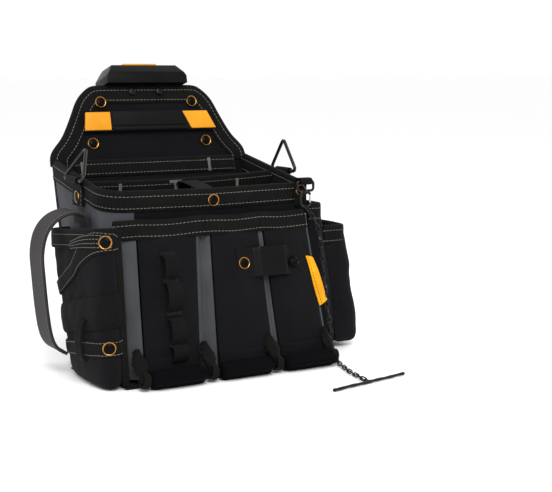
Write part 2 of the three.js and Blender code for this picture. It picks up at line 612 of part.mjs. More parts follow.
// A cup with a sheet-thick wall and floor, between a foot outline and a rim outline.
function cup(foot, rim, low, high) {
  const lift = typeof high === 'function' ? high : () => high;
  const body = loft(raised(foot, low), raised(rim, lift));
  const room = loft(raised(grow(foot, -SHEET), low + SHEET), raised(grow(rim, -SHEET), (x, y) => lift(x, y) + 0.5));
  return body.subtract(room);
}

// A layer of strap lying on the holster's outside, cut to an outline seen from the side.
function holsterSkin(outline, thickness) {
  const shell = (distance) => loft(
    raised(grow(holsterFoot, distance), 0), raised(grow(holsterRim, distance), holsterTop));
  const cut = slab(outline, 'side', -200, HOLSTER_WALL + 0.1);
  return shell(GAP + thickness).subtract(shell(GAP)).intersect(cut);
}

function buildHolster() {
  const upper = { at: [-128.2, -87.9, 136.4], axis: new THREE.Vector3(-0.695, -0.708, 0.096) };
  const lower = { at: [-129.8, -99.8, 39.5], axis: new THREE.Vector3(-0.653, -0.748, 0.104) };
  const punch = (body) => [upper, lower].reduce((rest, spot) => rest.subtract(rivetHole(spot.at, spot.axis, 9)), body);
  add('holster_shell', nylon, punch(cup(holsterFoot, holsterRim, 0.1, holsterTop)));
  add('holster_curved_strap', webbing, punch(holsterSkin(
    [[-94, 142], [-80, 146], [-62, 138], [-44, 116], [-8, 97], [24, 90], [24, 76], [-6, 80], [-46, 98], [-80, 124]], 1.6)));
  add('holster_elastic_band', elastic, holsterSkin([[-110, 58], [40, 32], [40, 62], [-110, 89]], 1.4));
  add('holster_lower_strap', webbing, punch(holsterSkin([[-106, 32], [-60, 27], [20, 14], [20, 29], [-60, 42], [-106, 47]], 1.6)));
  add('holster_rivet_1', brass, rivet(upper.at, upper.axis, 5.6));
  add('holster_rivet_2', brass, rivet(lower.at, lower.axis, 5.6));

  const hang = new THREE.CatmullRomCurve3([
    [-116.2, 0, 147], [-119, 0, 156], [-130, 0, 160], [-146, 0, 155], [-158, 0, 142],
    [-163.5, 0, 122], [-163, 0, 98], [-160, 0, 64], [-156, 0, 40], [-150, 0, 28], [-141, 0, 22],
  ].map((point) => new THREE.Vector3(...point)));
  const line = hang.getPoints(18).map((point) => [point.x, point.z]);
  add('holster_strap_loop', strapBrown, slab(ribbon(line, 1.6, 1.6), 'front', -28, 10));
}

// ---- pockets on the right side ------------------------------------------------------------------
const SIDE_WALL = BAG_HALF + 0.6;
const SIDE_FOOT = 5;

function buildSidePockets() {
  const innerTop = 158;
  const outerTop = 133;
  const innerFoot = [[SIDE_WALL, -62], [150, -62], [150, 30], [SIDE_WALL, 34]];
  const innerRim = [[SIDE_WALL, -62], [129, -62], [129, 36], [SIDE_WALL, 40]];
  add('side_pocket_tall', nylon, cup(innerFoot, innerRim, SIDE_FOOT, innerTop));
  const share = (outerTop - SIDE_FOOT) / (innerTop - SIDE_FOOT);
  const seamFoot = 150 + GAP + 0.2;
  const seamTop = seamFoot + (129 - 150) * share;
  const outerFoot = [[seamFoot, -60], [181, -60], [184, -25], [178, 24], [seamFoot, 26]];
  const outerRim = [[seamTop, -60], [160, -60], [163, -25], [157, 26], [seamTop, 28]];
  add('side_pocket_wide', nylon, cup(outerFoot, outerRim, SIDE_FOOT, outerTop));
}

buildBackPanel();
buildClip();
buildInnerPocket();
buildBag();
buildDivider();
buildChain();
buildPocketFaces();
buildToolLoops();
buildPocketGussets();
buildHolster();
buildSidePockets();

export default pouch;
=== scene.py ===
"""Looks of the electrician tool pouch: nylon, webbing, stitching, moulded clip, rings and tape chain."""

from contextlib import contextmanager
from math import atan, atan2, cos, dist, pi, radians, sin, sqrt

import bpy
import bmesh
from mathutils import Matrix, Vector, noise


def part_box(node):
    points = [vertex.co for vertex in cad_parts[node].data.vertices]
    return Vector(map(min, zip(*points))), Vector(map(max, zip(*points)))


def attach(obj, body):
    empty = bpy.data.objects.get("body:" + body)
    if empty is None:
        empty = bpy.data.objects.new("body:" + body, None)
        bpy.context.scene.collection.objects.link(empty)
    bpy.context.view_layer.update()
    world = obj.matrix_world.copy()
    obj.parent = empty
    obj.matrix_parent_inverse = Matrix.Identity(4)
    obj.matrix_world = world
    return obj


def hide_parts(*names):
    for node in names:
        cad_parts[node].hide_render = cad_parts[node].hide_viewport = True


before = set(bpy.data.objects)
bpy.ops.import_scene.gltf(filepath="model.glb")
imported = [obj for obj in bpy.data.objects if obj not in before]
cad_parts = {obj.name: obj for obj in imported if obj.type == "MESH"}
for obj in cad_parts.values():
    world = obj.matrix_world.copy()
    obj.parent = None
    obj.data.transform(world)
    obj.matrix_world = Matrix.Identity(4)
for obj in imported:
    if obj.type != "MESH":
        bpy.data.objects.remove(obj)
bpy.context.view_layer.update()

MM = 0.001
X_AXIS, Y_AXIS, Z_AXIS = Vector((1, 0, 0)), Vector((0, 1, 0)), Vector((0, 0, 1))


def at(x, y, z):
    """A point given in millimetres."""
    return Vector((x, y, z)) * MM


class Plane:
    """A leaning plane of the bag, from its foot line on the ground and its slope."""

    def __init__(self, foot, slope):
        self.foot, self.angle = foot, atan(slope)
        self.normal = Vector((0, -cos(self.angle), sin(self.angle)))
        self.up = Vector((0, sin(self.angle), cos(self.angle)))

    def __call__(self, x, depth, height):
        """A point by its x, its depth behind the plane and its height above the ground, in mm."""
        along = self.up * (height / cos(self.angle)) - self.normal * depth
        return at(x, self.foot, 0) + along * MM


on_back = Plane(28.5, 0.25)
on_pockets = Plane(-105, 0.233)


# ---- camera, floor and light ----------------------------------------------------------------
def make_camera():
    data = bpy.data.cameras.new("camera")
    data.lens = 78.26
    data.sensor_width = 36
    camera = bpy.data.objects.new("camera", data)
    camera.location = at(-538.6, -1123.2, 294.3)
    camera.rotation_euler = (radians(90 - 8.2), 0, radians(-30))
    bpy.context.scene.collection.objects.link(camera)
    bpy.context.scene.camera = camera


def area_light(name, place, size, power):
    """A square lamp turned towards the middle of the pouch."""
    data = bpy.data.lights.new(name, "AREA")
    data.size = size
    data.energy = power
    lamp = bpy.data.objects.new(name, data)
    lamp.location = place
    lamp.rotation_euler = (Vector((0, -0.02, 0.13)) - Vector(place)).to_track_quat("-Z", "Y").to_euler()
    bpy.context.scene.collection.objects.link(lamp)


def make_stage():
    scene = bpy.context.scene
    scene.view_settings.view_transform = "Standard"
    world = bpy.data.worlds.new("studio")
    world.use_nodes = True
    background = world.node_tree.nodes["Background"]
    background.inputs["Color"].default_value = (1, 1, 1, 1)
    background.inputs["Strength"].default_value = 1.0
    scene.world = world
    bpy.ops.mesh.primitive_plane_add(size=120, location=(0, 0, -0.0004))
    floor = bpy.context.object
    floor.name = "floor"
    paint = bpy.data.materials.new("floor_paint")
    paint.use_nodes = True
    shader = paint.node_tree.nodes["Principled BSDF"]
    shader.inputs["Base Color"].default_value = (0.98, 0.98, 0.98, 1)
    shader.inputs["Roughness"].default_value = 0.6
    floor.data.materials.append(paint)
    area_light("key", (-0.5, -1.5, 1.5), 1.0, 34)
    area_light("left_fill", (-1.7, -0.5, 0.7), 1.2, 8)
    area_light("right_rim", (1.3, 0.2, 0.9), 0.8, 4)


# ---- materials ------------------------------------------------------------------------------
class Look:
    """A node-based material built round one Principled shader."""

    def __init__(self, name, colour, roughness, **fixed):
        self.material = bpy.data.materials.new(name)
        self.material.use_nodes = True
        self.tree = self.material.node_tree
        self.shader = self.tree.nodes["Principled BSDF"]
        self.shader.inputs["Base Color"].default_value = (*colour, 1)
        self.shader.inputs["Roughness"].default_value = roughness
        for socket, value in fixed.items():
            self.shader.inputs[socket.replace("_", " ")].default_value = value
        self.uv = self.tree.nodes.new("ShaderNodeUVMap").outputs["UV"]
        self.place = self.tree.nodes.new("ShaderNodeTexCoord").outputs["Object"]

    def node(self, kind, links, **values):
        """A new node with some inputs linked and others given a value."""
        made = self.tree.nodes.new(kind)
        for socket, source in links.items():
            self.tree.links.new(source, made.inputs[socket])
        for socket, value in values.items():
            made.inputs[socket.replace("_", " ")].default_value = value
        return made

    def calc(self, operation, a, b=None):
        made = self.tree.nodes.new("ShaderNodeMath")
        made.operation = operation
        for index, value in enumerate((a, b)):
            if isinstance(value, (int, float)):
                made.inputs[index].default_value = value
            elif value is not None:
                self.tree.links.new(value, made.inputs[index])
        return made.outputs[0]

    def mix(self, a, share_a, b, share_b):
        return self.calc("ADD", self.calc("MULTIPLY", a, share_a), self.calc("MULTIPLY", b, share_b))

    def threads(self, axis, pitch):
        """Rounded parallel threads across one UV axis: their height from 0 to 1, and their wave."""
        parts = self.node("ShaderNodeSeparateXYZ", {0: self.uv})
        wave = self.calc("SINE", self.calc("MULTIPLY", parts.outputs[axis], pi / pitch))
        return self.calc("ABSOLUTE", wave), wave

    def weave(self, pitch):
        """Plain weave: each thread goes over one crossing thread and under the next."""
        warp, warp_wave = self.threads(0, pitch)
        weft, weft_wave = self.threads(1, pitch)
        over = self.calc("GREATER_THAN", self.calc("MULTIPLY", warp_wave, weft_wave), 0.0)
        return self.mix(warp, over, weft, self.calc("SUBTRACT", 1.0, over))

    def noise(self, scale, detail):
        return self.node("ShaderNodeTexNoise", {"Vector": self.place}, Scale=scale, Detail=detail).outputs[0]

    def ramp(self, value, stops):
        """Base colour from a value, by (position, colour) stops."""
        made = self.node("ShaderNodeValToRGB", {0: value})
        elements = made.color_ramp.elements
        while len(elements) < len(stops):
            elements.new(0.5)
        for element, (position, colour) in zip(elements, stops):
            element.position = position
            element.color = (*colour, 1)
        self.tree.links.new(made.outputs[0], self.shader.inputs["Base Color"])

    def rough(self, value, low, high):
        made = self.node("ShaderNodeMapRange", {"Value": value}, To_Min=low, To_Max=high)
        self.tree.links.new(made.outputs[0], self.shader.inputs["Roughness"])

    def bump(self, height, depth, strength=1.0):
        """Relief on top of any relief given before."""
        links = {"Height": height}
        if self.shader.inputs["Normal"].is_linked:
            links["Normal"] = self.shader.inputs["Normal"].links[0].from_socket
        made = self.node("ShaderNodeBump", links, Distance=depth, Strength=strength)
        self.tree.links.new(made.outputs[0], self.shader.inputs["Normal"])
        return self


def tone(colour, factor):
    return tuple(channel * factor for channel in colour)


def woven(name, colour, pitch, depth, sheen=0.03, gloss=0.14):
    look = Look(name, colour, 0.8, Sheen_Weight=sheen, Sheen_Roughness=0.4, Specular_IOR_Level=gloss)
    threads = look.weave(pitch)
    blotch = look.noise(38.0, 4.0)
    # Base colour from the thread height and random blotches: the blotches are the fabric's own uneven tone,
    # while the darker thread hollows are painted shade and the lighter thread crowns are painted highlight.
    look.ramp(look.mix(threads, 0.55, blotch, 0.6),
              [(0.15, tone(colour, 0.45)), (0.55, colour), (1.0, tone(colour, 1.9))])
    look.rough(blotch, 0.68, 0.92)
    return look.bump(threads, depth).bump(blotch, 0.0012, 0.35).material


def ribbed(name, colour, pitch, depth, roughness=0.75, sheen=0.03, gloss=0.16):
    look = Look(name, colour, roughness, Sheen_Weight=sheen, Sheen_Roughness=0.4, Specular_IOR_Level=gloss)
    height = look.mix(look.threads(0, pitch)[0], 0.75, look.threads(1, pitch * 0.38)[0], 0.25)
    blotch = look.noise(55.0, 4.0)
    # Base colour from the rib height and random blotches: the blotches are the webbing's own uneven tone,
    # while the darker grooves between ribs are painted shade and the lighter rib tops are painted highlight.
    look.ramp(look.mix(height, 0.6, blotch, 0.5),
              [(0.12, tone(colour, 0.3)), (0.6, colour), (1.0, tone(colour, 2.3))])
    look.rough(blotch, roughness - 0.15, roughness + 0.1)
    return look.bump(height, depth).material


def moulded(name, colour, roughness, grain=900.0, coat=0.0, gloss=0.22):
    look = Look(name, colour, roughness, Coat_Weight=coat, Coat_Roughness=0.25, Specular_IOR_Level=gloss)
    fine = look.noise(grain, 2.0)
    wear = look.noise(26.0, 6.0)
    look.ramp(wear, [(0.3, tone(colour, 0.8)), (0.6, colour), (0.78, tone(colour, 1.35))])
    look.rough(wear, roughness - 0.08, roughness + 0.14)
    return look.bump(fine, 0.00008).material


def metal(name, colour, roughness, wear_colour):
    look = Look(name, colour, roughness, Metallic=1.0)
    look.ramp(look.noise(180.0, 6.0), [(0.35, colour), (0.6, colour), (0.72, wear_colour)])
    look.rough(look.noise(420.0, 3.0), roughness - 0.1, roughness + 0.18)
    return look.bump(look.noise(700.0, 2.0), 0.00003).material


BLACK = (0.0036, 0.0037, 0.0046)
# Each look with the slot it belongs to.
LOOKS = {
    "nylon": (woven("ballistic_nylon", BLACK, 0.00085, 0.00022, gloss=0.05), "black_nylon"),
    # The rolls' nylon at half the brightness of the same fabric: painted shade of the recess under the
    # pockets.
    "folds": (woven("gathered_nylon_painted_shade", tone(BLACK, 0.5), 0.00085, 0.00022, sheen=0.0, gloss=0.03),
              "black_nylon"),
    "tape": (ribbed("ribbed_webbing", (0.0036, 0.0036, 0.0034), 0.0021, 0.0004, sheen=0.02, gloss=0.05),
             "black_webbing"),
    "grey": (woven("grey_gusset_fabric", (0.041, 0.0435, 0.048), 0.0007, 0.00016, gloss=0.1),
             "grey_fabric"),
    "elastic": (ribbed("ribbed_elastic", (0.0034, 0.0035, 0.0036), 0.0017, 0.00035, sheen=0.02,
                       gloss=0.05), "black_elastic"),
    "brown": (ribbed("grey_brown_strap", (0.018, 0.0164, 0.0159), 0.0011, 0.00018, roughness=0.62,
                     gloss=0.1), "brown_strap"),
    "thread": (ribbed("off_white_thread", (0.11, 0.108, 0.1), 0.0004, 0.0001, roughness=0.6),
               "black_webbing"),
    "dark_thread": (ribbed("black_thread", (0.007, 0.007, 0.007), 0.0004, 0.0001, roughness=0.5,
                           gloss=0.15), "black_webbing"),
    "polymer": (moulded("black_polymer", (0.0026, 0.0026, 0.0027), 0.34, gloss=0.09), "black_polymer"),
    "rubber": (moulded("label_rubber", (0.0036, 0.0036, 0.0038), 0.42, grain=500.0, gloss=0.08),
               "label_rubber"),
    "yellow": (moulded("yellow_polymer", (0.64, 0.255, 0.005), 0.42), "yellow_plastic"),
    "yellow_tape": (woven("yellow_tag_fabric", (0.62, 0.25, 0.005), 0.0006, 0.0001), "yellow_fabric"),
    "brass": (metal("brass", (0.38, 0.175, 0.038), 0.24, (0.14, 0.065, 0.018)), "brass_rivet"),
    "cap": (metal("black_rivet_cap", (0.006, 0.006, 0.0062), 0.3, (0.03, 0.025, 0.02)), "brass_rivet"),
    "steel": (metal("blackened_steel", (0.02, 0.02, 0.021), 0.33, (0.09, 0.09, 0.09)), "dark_steel"),
    "bright": (metal("bright_steel", (0.45, 0.45, 0.46), 0.25, (0.3, 0.3, 0.3)), "dark_steel"),
    "wire": (moulded("coated_wire", (0.006, 0.006, 0.006), 0.3, coat=0.1), "black_wire"),
}


# ---- lines ----------------------------------------------------------------------------------
def span(low, high, count):
    return [low + (high - low) * i / (count - 1) for i in range(count)]


def round_of(count):
    """Angles evenly round a circle."""
    return [2 * pi * k / count for k in range(count)]


def between(table, value):
    """Straight lines through (value, result) pairs."""
    for (a, low), (b, high) in zip(table, table[1:]):
        if value <= b:
            return low + (high - low) * (value - a) / (b - a)
    return table[-1][1]


def distance_along(points, closed=False):
    total = [0.0]
    ring = [*points, points[0]] if closed else points
    for first, second in zip(ring, ring[1:]):
        total.append(total[-1] + (second - first).length)
    return total


def resample(points, step, closed=False):
    """Evenly spaced points along a polyline."""
    total = distance_along(points, closed)
    ring = [*points, points[0]] if closed else list(points)
    count = max(2, round(total[-1] / step))
    result = []
    piece = 0
    for i in range(count if closed else count + 1):
        goal = total[-1] * i / count
        while piece < len(ring) - 2 and total[piece + 1] < goal:
            piece += 1
        length = total[piece + 1] - total[piece] or 1.0
        result.append(ring[piece].lerp(ring[piece + 1], (goal - total[piece]) / length))
    return result


def divided(line, count):
    """A polyline as a number of equal steps."""
    return resample(line, distance_along(line)[-1] / count)


def filleted(points, radius, closed=False, steps=6):
    """A polyline with each corner rounded by a small curve."""
    count = len(points)
    result = []
    for i, corner in enumerate(points):
        if not closed and i in (0, count - 1):
            result.append(corner)
            continue
        before, after = points[i - 1], points[(i + 1) % count]
        start = corner + (before - corner).normalized() * min(radius, (before - corner).length * 0.49)
        end = corner + (after - corner).normalized() * min(radius, (after - corner).length * 0.49)
        for t in span(0, 1, steps + 1):
            result.append(start.lerp(corner, t).lerp(corner.lerp(end, t), t))
    return result


def smooth_line(points, steps=8):
    """A Catmull-Rom curve through the points."""
    count = len(points)
    result = []
    for i in range(count - 1):
        a, b = points[max(i - 1, 0)], points[i]
        c, d = points[i + 1], points[min(i + 2, count - 1)]
        for k in range(steps):
            t = k / steps
            result.append(0.5 * (2 * b + (c - a) * t + (2 * a - 5 * b + 4 * c - d) * t * t
                                 + (3 * b - a - 3 * c + d) * t ** 3))
    return [*result, points[-1].copy()]


def directions(path, closed=False):
    count = len(path)
    result = []
    for i in range(count):
        before = path[i - 1] if closed or i else path[0]
        after = path[(i + 1) % count] if closed or i < count - 1 else path[-1]
        result.append((after - before).normalized())
    return result


def square_to(path, axis):
    """At each point of a path, the direction square to it and to an axis."""
    return [axis.cross(tangent).normalized() for tangent in directions(path)]


def framed(path, faces_to, closed=False):
    """At each point of a path: the point, its sideways direction and its outward one. faces_to is
    the outward side, one for the whole path or one for each point."""
    if isinstance(faces_to, Vector):
        faces_to = [faces_to] * len(path)
    for point, tangent, face in zip(path, directions(path, closed), faces_to):
        side = tangent.cross(face).normalized()
        yield point, side, side.cross(tangent).normalized()


# ---- meshes ---------------------------------------------------------------------------------
def finished(name, mesh, look, *replaces, body="bag"):
    """A mesh as a scene object with its material, riding on a body and standing for CAD nodes."""
    material, slot = LOOKS[look]
    mesh.materials.clear()
    mesh.materials.append(material)
    piece = bpy.data.objects.new(name, mesh)
    bpy.context.scene.collection.objects.link(piece)
    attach(piece, body)
    if replaces:
        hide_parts(*replaces)


def project_uvs(mesh):
    """Maps each face along its main direction, in metres."""
    layer = mesh.uv_layers.active or mesh.uv_layers.new(name="UVMap")
    for face in mesh.polygons:
        normal = [abs(c) for c in face.normal]
        across, up = ((1, 2), (0, 2), (0, 1))[normal.index(max(normal))]
        for loop in face.loop_indices:
            co = mesh.vertices[mesh.loops[loop].vertex_index].co
            layer.data[loop].uv = (co[across], co[up])


def mesh_of(name, verts, faces, uvs=None):
    """uvs, when given, holds one (u, v) pair in metres for each corner of each face."""
    mesh = bpy.data.meshes.new(name)
    mesh.from_pydata([tuple(v) for v in verts], [], faces)
    layer = mesh.uv_layers.new(name="UVMap")
    if uvs:
        for loop, uv in zip(layer.data, (pair for face in uvs for pair in face)):
            loop.uv = uv
    else:
        project_uvs(mesh)
    mesh.polygons.foreach_set("use_smooth", [True] * len(mesh.polygons))
    mesh.update()
    return mesh


@contextmanager
def editing(mesh):
    """The mesh opened for changes, and written back afterwards."""
    build = bmesh.new()
    build.from_mesh(mesh)
    yield build
    build.to_mesh(mesh)
    build.free()


def merged(meshes):
    """Several meshes joined into one, keeping their maps and smooth shading."""
    build = bmesh.new()
    for mesh in meshes:
        build.from_mesh(mesh)
        bpy.data.meshes.remove(mesh)
    mesh = bpy.data.meshes.new("merged")
    build.to_mesh(mesh)
    build.free()
    return mesh


def outward(mesh, sharp=None):
    """The mesh with every face turned outwards, and its edges sharp above an angle in degrees."""
    with editing(mesh) as build:
        bmesh.ops.recalc_face_normals(build, faces=build.faces)
    if sharp:
        mesh.set_sharp_from_angle(angle=radians(sharp))
    return mesh


def softened(mesh, width, segments=3):
    """The mesh with its sharp edges rounded, flat areas joined first."""
    with editing(mesh) as build:
        bmesh.ops.remove_doubles(build, verts=build.verts, dist=1e-6)
        bmesh.ops.dissolve_limit(build, angle_limit=radians(1), verts=build.verts, edges=build.edges)
        sharp = [e for e in build.edges if len(e.link_faces) == 2 and e.calc_face_angle() > radians(30)]
        bmesh.ops.bevel(build, geom=sharp, offset=width, segments=segments, profile=0.5,
                        affect="EDGES", clamp_overlap=True)
        bmesh.ops.recalc_face_normals(build, faces=build.faces)
    project_uvs(mesh)
    mesh.polygons.foreach_set("use_smooth", [True] * len(mesh.polygons))
    mesh.set_sharp_from_angle(angle=radians(35))
    return mesh


def refined(node, look, width, body="bag", segments=3):
    """A finished copy of a CAD node: the same shape with its edges rounded by a width in mm."""
    mesh = softened(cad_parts[node].data.copy(), width * MM, segments)
    finished(f"{node}_finished", mesh, look, node, body=body)


def sweep(path, faces_to, profile, closed=False, sharp=None):
    """A closed section carried along a path. The section's first coordinate points outwards, as
    framed gives it, and the second sideways."""
    travelled = distance_along(path, closed)
    around = [0.0]
    for first, second in zip(profile, [*profile[1:], profile[0]]):
        around.append(around[-1] + dist(first, second))
    verts = [point + out * a + side * b for point, side, out in framed(path, faces_to, closed)
             for a, b in profile]
    size = len(profile)
    faces, uvs = [], []
    for i in range(len(path) if closed else len(path) - 1):
        j = (i + 1) % len(path)
        for k in range(size):
            m = (k + 1) % size
            faces.append((i * size + k, j * size + k, j * size + m, i * size + m))
            uvs.append(((travelled[i], around[k]), (travelled[i + 1], around[k]),
                        (travelled[i + 1], around[k + 1]), (travelled[i], around[k + 1])))
    if not closed:
        last = (len(path) - 1) * size
        faces += [tuple(range(size)), tuple(range(last + size - 1, last - 1, -1))]
        uvs += [profile, profile[::-1]]
    return outward(mesh_of("sweep", verts, faces, uvs), sharp)


def circle(radius, count):
    """A round section with a radius in mm."""
    return [(radius * MM * cos(a), radius * MM * sin(a)) for a in round_of(count)]


def strap_section(width, thickness):
    """A flat strap's section in metres: thickness first, width second, with round edges."""
    half, edge = width / 2, thickness / 2
    places = span(edge - half, half - edge, 9)
    rim = [(edge * cos(a), half - edge + edge * sin(a)) for a in (0.5, 1.0, 1.571, 2.1, 2.6)]
    return [*((edge, b) for b in places), *rim, *((-edge, b) for b in reversed(places)),
            *((-a, -b) for a, b in rim)]


def folded_section(width, sheet, tape):
    """Webbing folded over the edge of a sheet: an outline round both legs and the fold.
    The first coordinate is across the sheet, the second runs outwards past its edge."""
    inner, outer = sheet / 2, sheet / 2 + tape
    leg = [(-width, 0.25), (-width * 0.97, 0.9), (-width * 0.75, 1.0), (-width * 0.5, 1.08),
           (-width * 0.25, 1.0), (-tape, 0.95)]
    front = [(inner + tape * rise, b) for b, rise in leg]
    arc = [pi * k / 8 for k in range(1, 8)]
    fold = [(outer * cos(a) * 0.96, outer * 0.75 * sin(a)) for a in arc]
    inside = [(-inner, -width), (-inner, -tape * 0.2), (inner, -tape * 0.2), (inner, -width)]
    return [*front, *fold, *((-a, b) for a, b in reversed(front)), *inside]


def turned(profile, axis, place):
    """A turned shape; profile points are (radius, height) in mm, from the foot to the top."""
    segments, size = 28, len(profile)
    verts, faces = [], []
    for k in range(segments):
        a = 2 * pi * k / segments
        verts += [at(r * cos(a), r * sin(a), h) for r, h in profile]
        m = (k + 1) % segments
        for i in range(size - 1):
            faces.append((k * size + i, m * size + i, m * size + i + 1, k * size + i + 1))
    mesh = mesh_of("turned", verts, faces)
    with editing(mesh) as build:
        bmesh.ops.remove_doubles(build, verts=build.verts, dist=1e-7)
        bmesh.ops.recalc_face_normals(build, faces=build.faces)
    mesh.transform(Matrix.Translation(place) @ axis.to_track_quat("Z", "Y").to_matrix().to_4x4())
    project_uvs(mesh)
    mesh.set_sharp_from_angle(angle=radians(40))
    return mesh


def grid_solid(front, rear):
    """A closed sheet between two grids of points of the same size."""
    rows, columns = len(front), len(front[0])
    verts = [p for row in [*front, *rear] for p in row]
    across = distance_along(front[rows // 2])
    up = distance_along([row[columns // 2] for row in front])
    faces, uvs = [], []
    for side in (0, 1):
        for i in range(rows - 1):
            for j in range(columns - 1):
                ring = [(i, j), (i, j + 1), (i + 1, j + 1), (i + 1, j)]
                if side:
                    ring.reverse()
                faces.append(tuple((side * rows + a) * columns + b for a, b in ring))
                uvs.append([(across[b], up[a]) for a, b in ring])
    border = [(0, j) for j in range(columns)] + [(i, columns - 1) for i in range(1, rows)]
    border += [(rows - 1, j) for j in range(columns - 2, -1, -1)] + [(i, 0) for i in range(rows - 2, 0, -1)]
    for a, b in zip(border, border[1:] + border[:1]):
        faces.append((a[0] * columns + a[1], (rows + a[0]) * columns + a[1],
                      (rows + b[0]) * columns + b[1], b[0] * columns + b[1]))
        uvs.append([(across[a[1]], up[a[0]])] * 2 + [(across[b[1]], up[b[0]])] * 2)
    return outward(mesh_of("grid", verts, faces, uvs), 50)


def sheet_of(rows, columns, point):
    """A closed sheet; point gives the place of a row and a column on the front (0) and the rear (1)."""
    return grid_solid(*([[point(row, column, rear) for column in columns] for row in rows]
                        for rear in (0, 1)))


def lofted(rings):
    """A closed skin over rings of points, flat over the first and the last."""
    count = len(rings[0])
    around = distance_along(rings[len(rings) // 2], True)
    up = distance_along([ring[0] for ring in rings])
    faces, uvs = [], []
    for i in range(len(rings) - 1):
        for k in range(count):
            m = (k + 1) % count
            faces.append((i * count + k, i * count + m, (i + 1) * count + m, (i + 1) * count + k))
            uvs.append(((around[k], up[i]), (around[k + 1], up[i]),
                        (around[k + 1], up[i + 1]), (around[k], up[i + 1])))
    for first, ring in ((0, rings[0]), ((len(rings) - 1) * count, rings[-1])):
        faces.append(tuple(range(first, first + count)))
        uvs.append([(p.x, p.y) for p in ring])
    return outward(mesh_of("loft", [p for ring in rings for p in ring], faces, uvs), 50)


# ---- sewing ---------------------------------------------------------------------------------
TAPE = 1.3 * MM


def lookup(total, values, goal):
    """The value at a distance along a path, between the ones given at its points."""
    for first, second, low, high in zip(total, total[1:], values, values[1:]):
        if goal <= second:
            share = (goal - first) / (second - first or 1.0)
            return low.lerp(high, min(max(share, 0.0), 1.0))
    return values[-1]


def stitch_mesh(path, facing, length=3.0, pitch=4.0, thread=0.33):
    """A row of stitches: short rounded threads lying on a surface whose outward side is given."""
    length, thread = length * MM, thread * MM
    total = distance_along(path)
    points = resample(path, pitch * MM)
    verts, faces = [], []
    section = [(0.0, 1.0), (0.87, 0.5), (0.87, -0.5), (0.0, -1.0), (-0.87, -0.5), (-0.87, 0.5)]
    for index, (point, tangent) in enumerate(zip(points, directions(points))):
        goal = total[-1] * index / max(1, len(points) - 1)
        out = facing if isinstance(facing, Vector) else lookup(total, facing, goal)
        side = tangent.cross(out).normalized()
        top = side.cross(tangent).normalized()
        skew = side * (0.16 * length * noise.noise(point * 900))
        base = len(verts)
        for share, size in ((-0.5, 0.35), (-0.38, 0.9), (0.0, 1.1), (0.38, 0.9), (0.5, 0.35)):
            centre = point + tangent * (share * length) + skew * share * 2
            lift = thread * 0.45 * (1 - (2 * share) ** 4)
            for a, b in section:
                verts.append(centre + side * (a * thread * size) + top * (lift + b * thread * 0.6 * size))
        for start in range(base, base + 24, 6):
            for k in range(6):
                m = (k + 1) % 6
                faces.append((start + k, start + m, start + 6 + m, start + 6 + k))
        faces.append(tuple(base + k for k in range(5, -1, -1)))
        faces.append(tuple(base + 24 + k for k in range(6)))
    return mesh_of("stitches", verts, faces)


def seams(name, path, faces_to, places):
    """Rows of stitches along a path, each moved by its own sideways and outward distances."""
    rows = []
    for aside, outwards in places:
        placed = list(framed(path, faces_to))
        line = [point + side * aside + out * outwards for point, side, out in placed]
        rows.append(stitch_mesh(line, [out if outwards > 0 else -out for _, _, out in placed]))
    finished(f"{name}_stitches", merged(rows), "thread")


def binding(name, path, faces_to, *nodes, width=18.0, sheet=5.0):
    """Webbing folded over an edge, with two rows of stitches on each of its legs."""
    width, sheet = width * MM, sheet * MM
    mesh = sweep(path, faces_to, folded_section(width, sheet, TAPE), sharp=60)
    finished(name, mesh, "tape", *nodes)
    seams(name, path, faces_to, [(-share * width, side * (sheet / 2 + TAPE * 1.05))
                                 for share in (0.2, 0.8) for side in (1, -1)])


def strap(name, path, faces_to, width, thickness, *nodes, look="tape", stitched=0.84):
    """A flat strap along a path, stitched along both edges at a share of its half width."""
    width, thickness = width * MM, thickness * MM
    finished(name, sweep(path, faces_to, strap_section(width, thickness), sharp=60), look, *nodes)
    if stitched:
        seams(name, path, faces_to, [(side * stitched * width / 2, thickness / 2 + 0.05 * MM)
                                     for side in (-1, 1)])


def bar_tack(name, middle, along, facing, length, look="thread"):
    """A dense block of short stitches set across a line."""
    side = along.cross(facing).normalized()
    half = along * length * MM / 2
    finished(name, merged([stitch_mesh([middle - half + side * shift, middle + half + side * shift],
                                       facing, 1.9, 1.5, 0.5) for shift in (-1.1 * MM, 0, 1.1 * MM)]), look)


def rivet(node, place, axis, r=6.3, ring_look="brass"):
    """A rivet seen as a thin bright ring round a black domed cap; r is its radius in mm."""
    ring = [(r * 0.7, 0.0), (r * 0.98, 0.0), (r, 0.25), (r * 0.97, 0.8), (r * 0.91, 1.1),
            (r * 0.84, 1.05), (r * 0.8, 0.8), (r * 0.7, 0.6), (r * 0.7, 0.0)]
    finished(f"{node}_ring", turned(ring, axis, place), ring_look, node)
    cap = [(0.0, 0.3), (r * 0.79, 0.3), (r * 0.8, 0.9), (r * 0.75, 1.4), (r * 0.6, 1.9),
           (r * 0.38, 2.2), (r * 0.15, 2.33), (0.0, 2.35)]
    finished(f"{node}_cap", turned(cap, axis, place), "cap")


def ripple(point, scale, depth):
    """A soft uneven swell of fabric: depth in mm, result in metres."""
    return depth * MM * noise.noise(point * scale)


# ---- back panel and belt clip ---------------------------------------------------------------
# Half width of the back panel at each height, in mm.
PANEL_OUTLINE = [(4, 113), (199, 113.2), (213, 110), (225, 98), (243, 88), (266, 77), (275, 67), (279, 60)]


